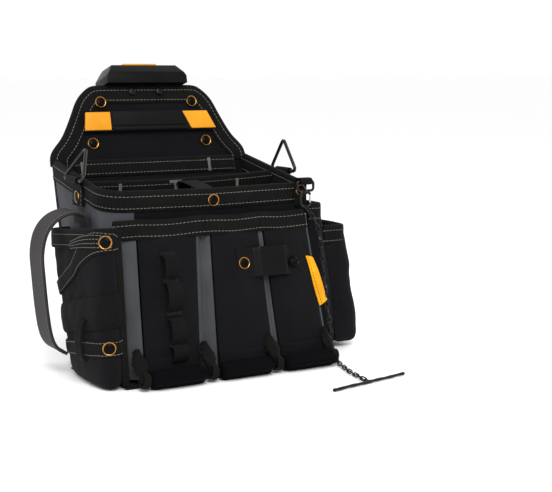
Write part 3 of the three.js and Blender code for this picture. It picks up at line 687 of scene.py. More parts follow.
def make_back_panel():
    def point(height, share, rear):
        x = share * between(PANEL_OUTLINE, height)
        swell = ripple(on_back(x, 0, height), 22, 1.6 * min(1.0, (1 - abs(share)) * 6))
        return on_back(x, 5 * rear, height) + on_back.normal * swell * (-0.5 if rear else 1)

    heights = sorted({*span(4, 279, 56), *(height for height, _ in PANEL_OUTLINE)})
    finished("back_panel_fabric", sheet_of(heights, span(-1, 1, 49), point), "nylon", "back_panel")

    corners = [(113, 198), (113, 206)] + [(x, h) for h, x in PANEL_OUTLINE[2:]]
    corners += [(-x, h) for x, h in reversed(corners)]
    path = resample(filleted([on_back(x, 2.5, h) for x, h in corners], 9 * MM), 3 * MM)
    binding("back_panel_edge", path, on_back.normal, "back_panel_binding")
    for i, (x, depth, h) in enumerate([(-54, -2.0, 263), (54, -2.0, 263), (-67, -0.6, 220), (67, -0.6, 220)]):
        rivet(f"panel_rivet_{i + 1}", on_back(x, depth, h), on_back.normal)


def make_label():
    refined("label_plate", "rubber", 0.9, segments=4)
    low, high = 232.5, 251.5

    def block(name, look, left, right, depth, foot, top, shift_left=0.0, shift_right=0.0):
        """A raised block on the plate; the shifts move the two upper corners sideways."""
        corners = [(left, foot), (right, foot), (right + shift_right, top), (left + shift_left, top)]
        verts = [on_back(x, -d, h) for d in (depth, 4.2) for x, h in corners]
        faces = [(0, 1, 2, 3), (7, 6, 5, 4)] + [(i, i + 4, (i + 1) % 4 + 4, (i + 1) % 4) for i in range(4)]
        finished(name, softened(outward(mesh_of(name, verts, faces)), 0.7 * MM, 4), look)

    block("label_end_left", "yellow", -76.5, -46.5, 7.2, low, high, 2.5)
    block("label_end_right", "yellow", 48.5, 78.5, 7.2, low, high, -9.5, -9.5)
    block("label_panel", "rubber", -44.3, 44.3, 6.6, low + 4.5, high)
    block("label_lip", "rubber", -44.3, 44.3, 7.8, low - 0.5, low + 3.2)


def make_clip():
    refined("clip_housing", "polymer", 1.5, segments=4)
    refined("clip_receiver", "polymer", 1.0)
    refined("release_button", "yellow", 0.8, "release_button")
    refined("latch_pawl", "bright", 0.4, "latch")
    head = [(0.0, 2.2), (1.3, 2.2), (1.5, 1.1), (1.6, 1.0), (1.7, 2.3), (3.1, 2.2), (3.9, 1.6), (4.2, 0.8),
            (4.2, 0.0), (0.0, 0.0)]
    # The screw heads take the dark blackened-steel look instead of bright steel: painted shade under the
    # clip's hood.
    for i, x in enumerate((-16, 16)):
        finished(f"clip_screw_{i + 1}_head", turned(head, on_back.normal, on_back(x, -1.7, 274)), "steel",
                 f"clip_screw_{i + 1}")
    lowest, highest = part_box("button_spring")
    middle = (Vector(lowest) + Vector(highest)) / 2
    coil = []
    for share in span(0, 1, 49):
        angle = share * 8 * pi
        spoke = X_AXIS * cos(angle) + on_back.up.cross(X_AXIS) * sin(angle)
        coil.append(middle + on_back.up * MM * (2.6 * share - 1.3) + spoke * 2.5 * MM)
    finished("button_spring_coil", sweep(coil, on_back.up, circle(0.4, 8)), "bright", "button_spring")


def make_inner_pocket():
    refined("inner_pocket", "nylon", 0.8)
    path = [on_back(x, d, 199) for x, d in ((92, -1), (92, -13), (-92, -13), (-92, -1))]
    path = resample(filleted(path, 5 * MM), 3 * MM)
    binding("inner_pocket_edge", path, square_to(path, on_back.up), sheet=2.2, width=17)
    for i, x in enumerate((-88, 60)):
        bar_tack(f"inner_pocket_tack_{i + 1}", on_back(x, -15.8, 191), on_back.up, on_back.normal, 13)


# ---- bag body, divider, rings ---------------------------------------------------------------
CORNER_X, FRONT_Y = 111.5, -56.5
BASE_TOP = 3.3


def back_y(z):
    return 28.5 + 0.25 * z


def rim_height(y):
    return 180 + (max(y, -58) + 58) * 23 / (back_y(203) + 58)


def corner_line(side, radius, end_x):
    """A plan line along one side of the bag, round its front corner and along the front, in mm."""
    line = [Vector((side * CORNER_X, 80, 0)), Vector((side * CORNER_X, FRONT_Y, 0)), Vector((0, FRONT_Y, 0))]
    line = filleted(line, radius, steps=20)
    return [*(p for p in line if abs(p.x) > abs(end_x)), Vector((end_x, FRONT_Y, 0))]


def make_gusset(name, side, round_at_rim, end_x):
    """A grey side of the bag, wrapped round its front corner, rounder towards the rim."""
    steps = 44
    outer, inner = [], []
    for v in span(0, 1, 34):
        radius = 5 + (round_at_rim - 5) * min(1.0, max(0.0, (v - 0.7) / 0.16))
        plan = divided(corner_line(side, radius, end_x), steps)
        line, line_inner = [], []
        for k, (p, tangent) in enumerate(zip(plan, directions(plan))):
            z = BASE_TOP + v * (rim_height(p.y) - BASE_TOP)
            out = Vector((tangent.y, -tangent.x, 0)) * -side
            if out.x * side < 0 and abs(out.x) > 0.3:
                out = -out
            calm = min(1.0, max(0.0, 6 * (0.88 - v)), 6 * k / steps, 6 * (1 - k / steps))
            sag = (0.6 + noise.noise(Vector((p.y, z, side * 50)) * 0.02)) * 2.0 * calm
            middle = at(p.x, min(p.y, back_y(z) - 0.6), z)
            line.append(middle + out * (1.5 - sag) * MM)
            line_inner.append(middle - out * (1.5 + sag) * MM)
        outer.append(line)
        inner.append(line_inner)
    finished(f"{name}_fabric", grid_solid(outer, inner), "grey", name)


def make_bag():
    refined("base_panel", "nylon", 0.8)

    def point(z, x, rear):
        p = at(x, -58, z)
        return at(x, -55, z) if rear else p + Y_AXIS * ripple(p, 20, 1.2)

    front = sheet_of(span(BASE_TOP, 179, 30), span(-84, 109.7, 40), point)
    finished("front_panel_fabric", front, "nylon", "front_panel")
    make_gusset("left_gusset", -1, 26, -82)
    make_gusset("right_gusset", 1, 7, 108)

    plan = corner_line(1, 7, 0) + corner_line(-1, 26, 0)[::-1][1:]
    plan[0].y = plan[-1].y = back_y(203) - 4
    path = [at(p.x, p.y, rim_height(p.y) - 1.4 * sin(pi * (p.x + 112) / 224) ** 2) for p in plan]
    path = resample(path, 3 * MM)
    binding("rim_edge", path, square_to(path, Z_AXIS), "rim_binding", width=19, sheet=3.2)
    rivet("rim_rivet", at(3, -60.4, 169), -Y_AXIS)


def make_divider():
    def point(z, x, rear):
        return at(x, 6 + 3 * rear + 1.4 * noise.noise(Vector((x, z, 9)) * 0.02), z)

    fabric = sheet_of(span(BASE_TOP, 184, 30), span(-107, 107, 40), point)
    finished("divider_fabric", fabric, "nylon", "divider_panel")
    path = [at(x, 7.6, 184 + 2.6 * (x / 108) ** 2 + 0.014 * x) for x in span(106, -106, 70)]
    binding("divider_edge", path, -Y_AXIS, width=17, sheet=3.4)
    for i, x in enumerate((-70, -8, 64)):
        bar_tack(f"divider_tack_{i + 1}", at(x, 3.6, 176), Z_AXIS, -Y_AXIS, 13)
    bar_tack("divider_tack_across", at(-8, 3.6, 183), X_AXIS, -Y_AXIS, 12)
    line = [(5.2, 172), (3.2, 180), (-4, 183.5), (-20, 182.5), (-40, 179.5), (-50, 176.5), (-52.2, 171),
            (-52.4, 164)]
    path = smooth_line([at(2, y, z) for y, z in line], 5)
    strap("divider_tie", path, square_to(path, X_AXIS), 20, 1.5)


def ring_path(x, lean):
    """The centre line of a triangular wire ring with small rounded corners, leaning about its bar."""
    slant = atan2(21, 26)
    turns = [((21, 0), -pi / 2, slant), ((0, 26), slant, pi - slant),
             ((-21, 0), pi - slant, 1.5 * pi)]
    path = []
    for (y, z), start, stop in turns:
        for a in span(start, stop, 8):
            rise = 3 + z + 3 * sin(a)
            path.append(at(x + rise * sin(lean), 2 + y + 3 * cos(a), 190 + rise * cos(lean)))
    return resample(path, 3 * MM, True)


def make_ring(name, side, lean):
    path = ring_path(side * 120.4, lean)
    finished(f"ring_{name}_wire", sweep(path, X_AXIS, circle(1.8, 12), True), "wire", f"ring_{name}",
             body=f"ring_{name}")
    line = [(115.4, 164), (115.4, 180), (116.0, 186), (117.3, 190.6)]
    line += [(120.4 + 3.1 * cos(radians(a)), 190 + 3.1 * sin(radians(a)))
             for a in (150, 110, 70, 30, -10, -50, -85, -120)]
    line += [(117.6, 184), (116.6, 180), (116.5, 164)]
    path = resample(smooth_line([at(side * x, 2, z) for x, z in line], 5), 1.2 * MM)
    strap(f"ring_{name}_webbing", path, square_to(path, Y_AXIS), 28, 1.0, f"ring_tab_{name}", stitched=0)
    for y, end in ((-9.4, "front"), (13.4, "rear")):
        row = [at(side * 117.15, y, z) for z in span(166, 183, 12)]
        finished(f"ring_{name}_seam_{end}", stitch_mesh(row, X_AXIS * side), "thread")
    rivet(f"ring_rivet_{name}", at(side * 116.9, 2, 173), X_AXIS * side)


# ---- snap hook, chain and T-bar -------------------------------------------------------------
HOOK_X, HOOK_Y = 104.0, -70.6


def hook_wire(points, radius, closed=False):
    path = [at(HOOK_X + x, HOOK_Y, z) for x, z in points]
    path = resample(filleted(path, 3 * MM, closed), 1.3 * MM, closed)
    return sweep(path, Y_AXIS, circle(radius, 10), closed)


def make_hook():
    line = [(-60.4, 158), (-60.4, 178), (-61, 184.5), (-64, 187.0), (-70.6, 187.1)]
    line += [(-70.6 + 3.1 * cos(radians(a)), 184 + 3.1 * sin(radians(a)))
             for a in (120, 160, 200, 240, 280)]
    line += [(-66.5, 182.6), (-63, 181), (-61.5, 177), (-61.3, 160)]
    path = resample(smooth_line([at(HOOK_X, y, z) for y, z in line], 5), 1.2 * MM)
    strap("hook_webbing", path, square_to(path, X_AXIS), 14, 0.8, "hook_tab", stitched=0)
    rivet("hook_rivet", at(104, -61.8, 174), -Y_AXIS)

    eye = hook_wire([(-9.6, 174.3), (9.6, 174.3), (9.6, 184), (-9.6, 184)], 1.4, True)
    bow = hook_wire([(5.7, 169.9), (4.4, 172.9), (-4.4, 172.9), (-5.7, 170), (-5.7, 160), (-2.6, 157.3),
                     (2.6, 157.3), (5.7, 160), (5.7, 161)], 1.35)
    barrel = turned([(0.0, -2.4), (2.6, -2.4), (3.0, -1.9), (3.0, -1.0), (2.5, -0.6), (2.5, 0.4), (2.9, 0.8),
                     (2.9, 1.5), (2.4, 1.9), (0.0, 1.9)], Z_AXIS, at(HOOK_X, HOOK_Y, 173.2))
    finished("snap_hook_wire", merged([eye, bow, barrel]), "steel", "snap_hook", body="snap_hook")
    gate = hook_wire([(5.7, 168.9), (5.7, 161.7)], 1.0)
    finished("hook_gate_wire", gate, "bright", "hook_gate", body="hook_gate")


def link_mesh(middle, along, across, half=5.4, reach=1.75, wire=0.72):
    """One oval chain link lying along a direction, with its sizes in mm."""
    path = []
    for a in round_of(14):
        swing = cos(a)
        far = (half - reach) * (1 if swing > 0.01 else -1 if swing < -0.01 else 0)
        path.append(middle + along * (far + reach * swing) * MM + across * reach * sin(a) * MM)
    return sweep(path, along.cross(across).normalized(), circle(wire, 7), True)


def make_links(name, node, body, points):
    """Chain links along a line, each a quarter turn from the one before."""
    line = resample(smooth_line([at(*p) for p in points], 10), 7.9 * MM)
    links = []
    for i, (point, along) in enumerate(zip(line, directions(line))):
        first = along.cross(X_AXIS if abs(along.x) < 0.8 else Z_AXIS).normalized()
        second = along.cross(first).normalized()
        turn = radians(45 + 90 * (i % 2) + 14 * noise.noise(Vector((i * 0.7, 3, 1))))
        links.append(link_mesh(point, along, first * cos(turn) + second * sin(turn)))
    finished(name, merged(links), "steel", node, body=body)


def make_chain():
    make_links("chain_upper_links", "chain_hanging", "chain_upper",
               [(106, -71.1, 154), (113, -75.6, 143), (117.5, -79, 122), (117.5, -88, 76), (117.5, -98, 35),
                (117.5, -103.5, 12)])
    make_links("chain_lower_links", "chain_floor", "chain_lower",
               [(117.5, -104.6, 7), (116.5, -112, 3.4), (110, -132, 2.4), (102, -162, 2.4),
                (98.3, -188.5, 2.4)])


def make_t_bar():
    """A slightly uneven wire rod with rounded ends, its collar and the chain's last link."""
    run = Vector((96, 19, 0)).normalized()
    side = run.cross(Z_AXIS)
    middle = at(99, -198.5, 1.8)
    rings = []
    for share in span(-1, 1, 61):
        thick = 1.5 + 0.12 * sin(share * 170)
        if abs(share) > 0.95:
            thick = 1.75 * sqrt(max(0.06, 1 - ((abs(share) - 0.95) / 0.052) ** 2))
        elif abs(share) > 0.93:
            thick = 1.7
        centre = middle + run * (49 * MM * share) + Z_AXIS * (0.12 * MM * sin(share * 9))
        rings.append([centre + (side * cos(a) + Z_AXIS * sin(a)) * min(thick, 1.7) * MM
                      for a in round_of(12)])
    collar = [(0.0, -3.2), (1.52, -3.2), (1.68, -2.6), (1.68, 2.6), (1.52, 3.2), (0.0, 3.2)]
    tail = link_mesh(at(98.8, -193.6, 2.0), Vector((0.05, -1, 0)).normalized(), X_AXIS, 3.6, 1.5, 0.7)
    finished("t_bar_rod", merged([lofted(rings), turned(collar, run, middle), tail]), "steel", "t_bar",
             body="t_bar")


# ---- front pockets --------------------------------------------------------------------------
# Left and right edges of each pocket face, at the top and at the foot, and the ends of its tape.
POCKETS = [((-84, -22), (-91, -35)), ((-5, 46), (-13, 48)), ((53, 102), (57, 111))]
TAPE_ENDS = [(-107, -14.5), (-13.2, 48.6), (49.8, 103)]
POCKET_LOW, POCKET_HIGH = 4, 153
POCKET_RISE = POCKET_HIGH - POCKET_LOW
WALL_Y = -59.1


def pocket_edges(index, height):
    (top_left, top_right), (foot_left, foot_right) = POCKETS[index]
    share = (height - POCKET_LOW) / POCKET_RISE
    return foot_left + (top_left - foot_left) * share, foot_right + (top_right - foot_right) * share


def pocket_y(height):
    return -105 + 0.233 * height


def belly(index, u, v):
    """How far a pocket face stands forward, in mm: slack in its middle, held at its edges."""
    swell = 3.4 * sin(pi * u) ** 0.7 * sin(pi * min(1.0, v * 0.93 + 0.07)) ** 0.8
    crease = noise.noise(Vector((index * 7 + u * 2.2, v * 3.1, 4.2))) * 1.7 * sin(pi * u)
    return swell + crease


def make_pocket(i):
    """A pocket face with the binding on its mouth and the hem at its foot."""
    def point(v, u, rear):
        height = POCKET_LOW + v * POCKET_RISE
        left, right = pocket_edges(i, height)
        return on_pockets(left + (right - left) * u, 2.4 * rear - belly(i, u, v), height)

    face = sheet_of(span(0, 1, 60), span(0, 1, 30), point)
    finished(f"pocket_face_{i + 1}_fabric", face, "nylon", f"pocket_face_{i + 1}")
    left, right = pocket_edges(i, POCKET_HIGH)
    tape_left, tape_right = TAPE_ENDS[i]
    path = []
    for x in span(tape_right, tape_left, 40):
        u = min(1.0, max(0.0, (x - left) / (right - left)))
        depth = 1.2 + 0.13 * max(0.0, left - x) - belly(i, u, 1)
        path.append(on_pockets(x, depth, POCKET_HIGH + 0.6 - 1.2 * sin(pi * u)))
    binding(f"pocket_binding_{i + 1}_tape", path, on_pockets.normal, f"pocket_binding_{i + 1}", sheet=3.0)
    left, right = pocket_edges(i, 17)
    hem = [on_pockets(left + (right - left) * u, -0.9 - belly(i, u, 13 / 149), 17 + 1.2 * sin(u * 7 + i))
           for u in span(0.01, 0.99, 24)]
    strap(f"pocket_hem_{i + 1}", hem, on_pockets.normal, 13, 1.5, look="nylon", stitched=0)


def fold_sheet(low, high):
    """A folded sheet between a plan line at the foot and one at the top, rounded and creased."""
    low, high = (divided(filleted([at(*p, 0) for p in line], 3 * MM), 22) for line in (low, high))
    front, rear = [], []
    for v in span(0, 1, 40):
        line = [a.lerp(b, v) for a, b in zip(low, high)]
        outer, inner = [], []
        for u, point, tangent in zip(span(0, 1, len(line)), line, directions(line)):
            out = tangent.cross(Z_AXIS).normalized() * MM
            crease = 1.3 * noise.noise(Vector((point.x * 30, point.y * 30, v * 4))) * sin(pi * u)
            place = Vector((point.x, point.y, (6.5 + 143.5 * v) * MM)) + out * crease
            outer.append(place + out)
            inner.append(place - out)
        front.append(outer)
        rear.append(inner)
    return grid_solid(front, rear)


def make_pocket_gussets():
    foot_y, top_y = pocket_y(6.5), pocket_y(POCKET_HIGH)
    left = fold_sheet([(-92.8, foot_y + 1), (-107, foot_y + 12), (-111, WALL_Y)],
                      [(-85.8, top_y + 1), (-101, top_y + 3), (-110, WALL_Y)])
    finished("pocket_gusset_left_fabric", left, "grey", "pocket_gusset_left")
    right = fold_sheet([(112.8, foot_y + 1), (112.5, WALL_Y)], [(103.8, top_y + 1), (111, WALL_Y)])
    finished("pocket_gusset_right_fabric", right, "grey", "pocket_gusset_right")
    for i in range(2):
        folds, webs = [], []
        for height in (6.5, POCKET_HIGH):
            a, b = pocket_edges(i, height)[1] + 1.8, pocket_edges(i + 1, height)[0] - 1.8
            y = pocket_y(height)
            dip = ((a + b) / 2, y + min(9, (b - a) * 0.9))
            folds.append([(a, y + 1), dip, (b, y + 1)])
            webs.append([dip, (dip[0], WALL_Y)])
        finished(f"pocket_gusset_{i + 1}_fabric", merged([fold_sheet(*folds), fold_sheet(*webs)]), "grey",
                 f"pocket_gusset_{i + 1}")


def make_tape_clip():
    plate = [(17, -3.0), (38, -3.0), (41.5, -7.0), (71.5, -7.0), (75, -3.0), (90, -3.0)]
    path = resample(filleted([on_pockets(x, depth, 106) for x, depth in plate], 2.5 * MM), 1.2 * MM)
    mesh = sweep(path, [t.cross(on_pockets.up) for t in directions(path)],
                 strap_section(30 * MM, 1.2 * MM), sharp=45)
    finished("tape_clip_plate", mesh, "polymer", "tape_clip")
    rivet("tape_clip_rivet_1", on_pockets(25, -3.6, 106), on_pockets.normal)
    # The second rivet's ring takes the black cap look instead of brass: painted shade.
    rivet("tape_clip_rivet_2", on_pockets(82, -3.6, 103), on_pockets.normal, ring_look="cap")


def make_side_tag():
    edges = [(98, 108, 106, 106), (101, 92, 111, 91), (104, 76, 115, 76), (108, 57, 117.5, 62)]

    def point(t, u, rear):
        """t runs down the tag, from 0 to 3, and u across it."""
        i = min(2, int(t))
        left_x, left_h, right_x, right_h = (a + (b - a) * (t - i) for a, b in zip(edges[i], edges[i + 1]))
        depth = -2.4 - 1.2 * sin(pi * u) - 0.6 * sin(t * 2)
        x, height = left_x + (right_x - left_x) * u, left_h + (right_h - left_h) * u
        return on_pockets(x, depth + 1.1 * rear, height)

    tag = sheet_of([k / 5 for k in range(16)], span(0, 1, 8), point)
    finished("side_tag_fabric", tag, "yellow_tape", "side_tag")
    rim = [on_pockets(x, -3.5, h) for x, h in ((99.6, 106), (103, 90.5), (106, 75.5), (109.4, 60))]
    finished("side_tag_seam", stitch_mesh(rim, on_pockets.normal, 2.2, 3.2, 0.3), "dark_thread")


def make_tool_loops():
    """One stretch strap sewn up the first pocket in four arches."""
    middle = -58

    def base(h):
        left, right = pocket_edges(0, h)
        return -1.6 - belly(0, (middle - left) / (right - left), (h - POCKET_LOW) / POCKET_RISE)

    line = [(base(19), 19)]
    for low, high in [(20.5, 34), (37, 60), (69, 94), (98, 120)]:
        for a in span(0, pi, 15):
            h = (low + high) / 2 - (high - low) / 2 * cos(a)
            line.append((base(h) - 10.5 * sin(a) ** 0.75, h + 1.5 * sin(a)))
    line.append((base(122), 122))
    path = resample([on_pockets(middle, d, h) for d, h in line], 1.0 * MM)
    strap("tool_loop_strap", path, square_to(path, X_AXIS), 16, 1.4, "elastic_tool_loops", look="elastic",
          stitched=0)
    for i, h in enumerate((35.5, 64.5, 96, 121)):
        bar_tack(f"tool_loop_tack_{i + 1}", on_pockets(middle, base(h) - 1.0, h), X_AXIS, on_pockets.normal,
                 14, "dark_thread")


ROLL_Y = -117.5


def roll_mesh(number, left, right):
    """A gathered tube of fabric, pinched at both ends."""
    rings = []
    for v in span(0, 1, 54):
        x = left + (right - left) * v
        pinch = (1 - abs(2 * v - 1) ** 9) ** 0.5 if 0 < v < 1 else 0.0
        ring = []
        for a in round_of(36):
            gather = 1 + (1 - pinch) * 0.25 * sin(a * 7 + number)
            place = Vector((x * 0.03, cos(a) * 0.7 + number * 5, sin(a) * 0.7))
            lump = 1 + 0.10 * noise.noise(place)
            reach = (0.42 + 0.58 * pinch) * gather * lump * (1 + 0.16 * cos(4 * a))
            ring.append(at(x, ROLL_Y + 10.5 * reach * cos(a), max(8.9 + 8.0 * reach * sin(a), 0.3)))
        rings.append(ring)
    return lofted(rings)


def tie_meshes(number, x, size):
    """The knot between two rolls and the band of webbing that pinches them."""
    line = ((0, 34), (-4, 27), (-8.5, 19), (-11.5, 11), (-10, 5))
    path = smooth_line([on_pockets(x, d, h) for d, h in line], 5)
    rings = []
    for k, (p, tangent) in enumerate(zip(path, directions(path))):
        t = k / (len(path) - 1)
        wide = size * (3.2 + 4.2 * sin(pi * min(1, t * 1.15)) ** 2)
        wide *= 1 + 0.1 * sin(k * 1.9 + number)
        rings.append([p + (X_AXIS * cos(a) * wide + X_AXIS.cross(tangent) * sin(a) * 4.4) * MM
                      * (1 + 0.1 * sin(5 * a + number)) for a in round_of(20)])
    band = [at(x + 1.4 * sin(a), ROLL_Y + 6.8 * cos(a), 9.4 + 6.4 * sin(a)) for a in round_of(24)]
    faces = [(p - at(x, ROLL_Y, 9.4)).normalized() for p in band]
    return [lofted(rings), sweep(band, faces, strap_section(7 * MM, 2.2 * MM), True)]


def make_rolls():
    rolls = [roll_mesh(i, *ends) for i, ends in enumerate([(-94, -36), (-20, 37), (51, 110)])]
    # The rolls take the half-bright gathered nylon: painted shade.
    finished("base_roll_fabric", merged(rolls), "folds", "base_roll")
    ties = [mesh for i, (x, size) in enumerate([(-99, 1), (-28, 1), (44, 1), (108.5, 0.75)])
            for mesh in tie_meshes(i, x, size)]
    finished("base_roll_ties", merged(ties), "tape")


# ---- cups of fabric: holster and side pockets -----------------------------------------------
CUP_STEPS = 72


def centre_of(line):
    """The middle of a plan line's extent, and half of that extent."""
    xs, ys = [p.x for p in line], [p.y for p in line]
    return (Vector(((min(xs) + max(xs)) / 2, (min(ys) + max(ys)) / 2, 0)),
            Vector(((max(xs) - min(xs)) / 2, (max(ys) - min(ys)) / 2, 0)))


class Cup:
    """A fabric cup sewn to a flat wall, between a foot outline and a rim outline in plan, in mm."""

    def __init__(self, foot, rim, low, high, radius, swell, seed):
        self.foot, self.rim, self.low, self.high = foot, rim, low, high
        self.radius, self.swell, self.seed = radius, swell, seed

    def curve(self, v):
        corners = [Vector((*a, 0)).lerp(Vector((*b, 0)), v) for a, b in zip(self.foot, self.rim)]
        return divided(filleted(corners, self.radius) if self.radius else smooth_line(corners), CUP_STEPS)

    def ring(self, v, inset):
        """A closed ring of points in metres, v from 0 at the foot to 1 at the rim."""
        line = self.curve(v)
        wall = (line[0], line[-1])
        closed = line + [wall[1].lerp(wall[0], k / 16) for k in range(1, 16)]
        centre, half = centre_of(closed)
        turn = 1 if sum(a.x * b.y - b.x * a.y for a, b in zip(closed, closed[1:] + closed[:1])) > 0 else -1
        soft = sin(pi * v) ** 0.6 if 0 < v < 1 else 0.0
        ring = []
        for k, p in enumerate(closed):
            tangent = closed[(k + 1) % len(closed)] - closed[k - 1]
            out = Vector((tangent.y, -tangent.x, 0)).normalized() * turn
            away = min(abs(p.x - wall[0].x), 14) / 14
            crumple = noise.noise(Vector((p.x * 0.028, p.y * 0.028, v * 3.4 + self.seed)))
            fine = noise.noise(Vector((p.x * 0.09, p.y * 0.09, v * 11 + self.seed)))
            push = away * soft * self.swell * (0.55 + 1.1 * crumple + 0.35 * fine)
            x, y = (centre[n] + (p[n] - centre[n]) * (1 - inset / half[n]) + out[n] * push for n in (0, 1))
            ring.append(at(x, y, self.low + (self.high(x, y) - self.low) * v))
        return ring

    def mesh(self):
        """The outside, the rolled rim and the inside, as rings of (height share, inset)."""
        rows = [(0.0, 15), (0.0, 10), (0.006, 6.0), (0.02, 3.4), (0.04, 1.8), (0.07, 0.6)]
        rows += [(v, 0) for v in span(0.1, 0.985, 44)]
        rows += [(0.998, 0.6), (1.0, 1.5), (0.998, 2.4)]
        rows += [(v, 3) for v in span(0.98, 0.08, 18)] + [(0.035, 4), (0.026, 8), (0.026, 14)]
        return lofted([self.ring(v, inset) for v, inset in rows])

    def surface(self, y, z):
        """A point of the outside, by its depth and height, and its outward side."""
        middle = self.curve(0.5)
        height = self.high(*middle[CUP_STEPS // 2].xy) - self.low

        def point(share, z):
            ring = self.ring(min(max((z - self.low) / height, 0.0), 1.0), 0)
            place = min(max(share, 0.0), 1.0) * CUP_STEPS
            k = min(CUP_STEPS - 1, int(place))
            return ring[k].lerp(ring[k + 1], place - k)

        share = self.share_at(y, z)
        here = point(share, z)
        along = point(share + 0.012, z) - point(share - 0.012, z)
        out = along.cross(point(share, z + 3) - point(share, z - 3)).normalized()
        if out.dot(Vector((here.x - middle[0].x * MM, here.y + 0.035, 0))) < 0:
            out = -out
        return here, out

    def share_at(self, y, z):
        """How far round the outside reaches a given depth y, counted from its front end."""
        line = self.curve(min(1.0, max(0.0, (z - self.low) / (140 - self.low))))
        first = min(range(len(line) // 2), key=lambda k: line[k].y)
        if y < line[first].y:
            return max(0.02, first / CUP_STEPS - (line[first].y - y) / distance_along(line)[-1])
        for k in range(first, CUP_STEPS):
            if line[k + 1].y >= y:
                return (k + (y - line[k].y) / (line[k + 1].y - line[k].y)) / CUP_STEPS
        return 1.0

    def edge(self, name, width=18.0):
        """The binding round the mouth, set in by half of the fabric's thickness."""
        line = self.curve(1.0)
        middle, _ = centre_of(line)
        line = [p + (middle - p).normalized() * 1.5 for p in line]
        path = resample([at(p.x, p.y, self.high(p.x, p.y)) for p in line], 2.5 * MM)
        if path[0].x > 0:
            path.reverse()
        binding(name, path, square_to(path, Z_AXIS), width=width, sheet=3.0)


def skin(name, cup, top, low, thickness, *nodes, look="tape", rows=(0.12, 0.88), bulge=0.5):
    """A strap lying on a cup's outside, between two edges given as (depth, height) points."""
    ends = [divided(smooth_line([Vector((0, y, z)) for y, z in edge], 6), 46) for edge in (top, low)]
    outer, inner, outs = [], [], []
    steps = 8
    for u in span(0, 1, steps + 1):
        rise = thickness + bulge * sin(pi * u)
        if u in (0, 1):
            rise *= 0.55
        places = [cup.surface(p.y, p.z) for p in (b.lerp(a, u) for a, b in zip(*ends))]
        outer.append([place + out * (0.3 + rise) * MM for place, out in places])
        inner.append([place - out * 0.6 * MM for place, out in places])
        outs.append([out for _, out in places])
    finished(name, grid_solid(outer, inner), look, *nodes)
    threads = []
    for share in rows:
        k = min(steps - 1, int(share * steps))
        line = [a.lerp(b, share * steps - k) + out * 0.12 * MM
                for a, b, out in zip(outer[k], outer[k + 1], outs[k])]
        threads.append(stitch_mesh(line, outs[k]))
    if threads:
        finished(f"{name}_stitches", merged(threads), "thread")


def make_holster_straps(cup):
    skin("holster_curved_strap_tape", cup,
         [(-97, 141), (-80, 146), (-62, 138), (-44, 116), (-8, 97), (24, 90)],
         [(-99, 126), (-82, 122), (-60, 110), (-46, 98), (-6, 80), (24, 76)], 1.6, "holster_curved_strap")
    skin("holster_upper_tab", cup, [(-90, 141), (-80, 142.5), (-64, 141), (-44, 136)],
         [(-92, 128), (-80, 128), (-64, 128), (-47, 127)], 3.0, rows=(0.12, 0.38, 0.64, 0.88))
    skin("holster_elastic", cup, [(-110, 89), (-60, 81), (-10, 71), (38, 62)],
         [(-110, 58), (-60, 50), (-10, 41), (38, 32)], 1.7, "holster_elastic_band", look="elastic", rows=(),
         bulge=1.2)
    skin("holster_lower_tape", cup, [(-108, 47), (-60, 42), (-20, 36), (20, 29)],
         [(-108, 32), (-60, 27), (-20, 21), (20, 14)], 1.7, "holster_lower_strap")
    for i, (y, z, lift) in enumerate(((-89.5, 134, 2.6), (-101, 39.5, 2.0))):
        place, out = cup.surface(y, z)
        rivet(f"holster_rivet_{i + 1}", place + out * lift * MM, out, 6.6)


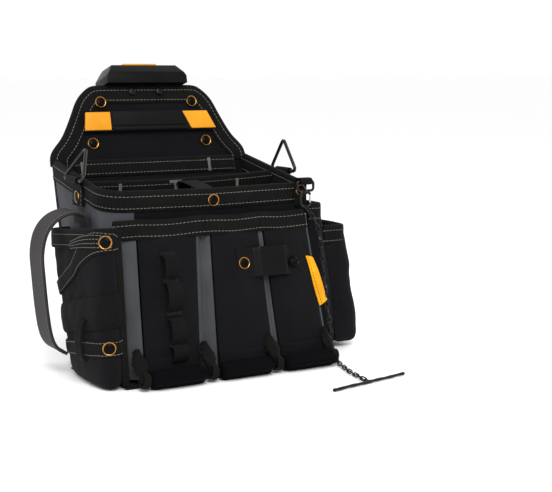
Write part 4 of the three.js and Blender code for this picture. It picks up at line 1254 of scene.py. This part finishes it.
def make_holster():
    wall = -113.6
    cup = Cup([(wall, -103), (-124, -107), (-135, -98), (-140, -60), (-136, -25), (-124, 4), (wall, 16)],
              [(wall, -88), (-120, -91), (-131, -80), (-138, -45), (-140, 0), (-133, 26), (wall, 38)],
              0.4, lambda x, y: 150 - 0.1 * (y + 90), 0, 2.6, 3.0)
    finished("holster_fabric", cup.mesh(), "nylon", "holster_shell")
    cup.edge("holster_edge", 17)
    make_holster_straps(cup)
    seam = [at(-112.8, -90.6 - 15 * t, 149 - 145 * t) for t in span(0, 1, 40)]
    strap("holster_front_seam", seam, -Y_AXIS, 6.5, 1.6, stitched=0)

    here, out = cup.surface(-72, 46)
    line = ((-21, 2.2), (-20, 4.2), (-15, 6.6), (-6, 7.8), (4, 7.8), (12, 6.4), (16, 4.0), (17, 2.2))
    path = smooth_line([here + Z_AXIS * rise * MM + out * lift * MM for rise, lift in line], 4)
    faces = [t.cross(out).cross(t).normalized() for t in directions(path)]
    strap("holster_lower_loop", path, faces, 11, 1.8, stitched=0)

    line = [(-116.2, 147), (-119, 156), (-130, 160), (-146, 155), (-158, 142), (-163.5, 122), (-163, 98),
            (-160, 64), (-156, 40), (-150, 28), (-141, 22)]
    path = resample(smooth_line([at(x, -9 + 1.2 * sin(z * 0.05), z) for x, z in line]), 2.5 * MM)
    strap("holster_loop_webbing", path, square_to(path, Y_AXIS), 38, 3.0, "holster_strap_loop", look="brown",
          stitched=0.86)


def make_side_pockets():
    """The tall pocket against the bag, which narrows upwards, and the wide one sewn on its outside."""
    wall, low, tall_high, wide_high = 113.6, 5, 158, 133
    foot, rim = 150, 129
    tall = Cup([(wall, -62), (foot, -62), (foot, 30), (wall, 34)],
               [(wall, -62), (rim, -62), (rim, 36), (wall, 40)],
               low, lambda x, y: tall_high, 7, 1.6, 11.0)
    finished("side_pocket_tall_fabric", tall.mesh(), "nylon", "side_pocket_tall")
    tall.edge("side_pocket_tall_edge")
    foot_x = foot + 0.5
    top_x = foot_x + (rim - foot) * (wide_high - low) / (tall_high - low)
    wide = Cup([(foot_x, -60), (181, -60), (184, -25), (178, 24), (foot_x, 26)],
               [(top_x, -60), (160, -60), (163, -25), (157, 26), (top_x, 28)],
               low, lambda x, y: wide_high, 9, 2.4, 17.0)
    finished("side_pocket_wide_fabric", wide.mesh(), "nylon", "side_pocket_wide")
    wide.edge("side_pocket_wide_edge")


make_camera()
make_stage()
make_back_panel()
make_label()
make_clip()
make_inner_pocket()
make_bag()
make_divider()
make_ring("left", -1, radians(25))
make_ring("right", 1, 0.0)
make_hook()
make_chain()
make_t_bar()
for number in range(3):
    make_pocket(number)
make_pocket_gussets()
make_tape_clip()
make_side_tag()
make_tool_loops()
make_rolls()
make_holster()
make_side_pockets()
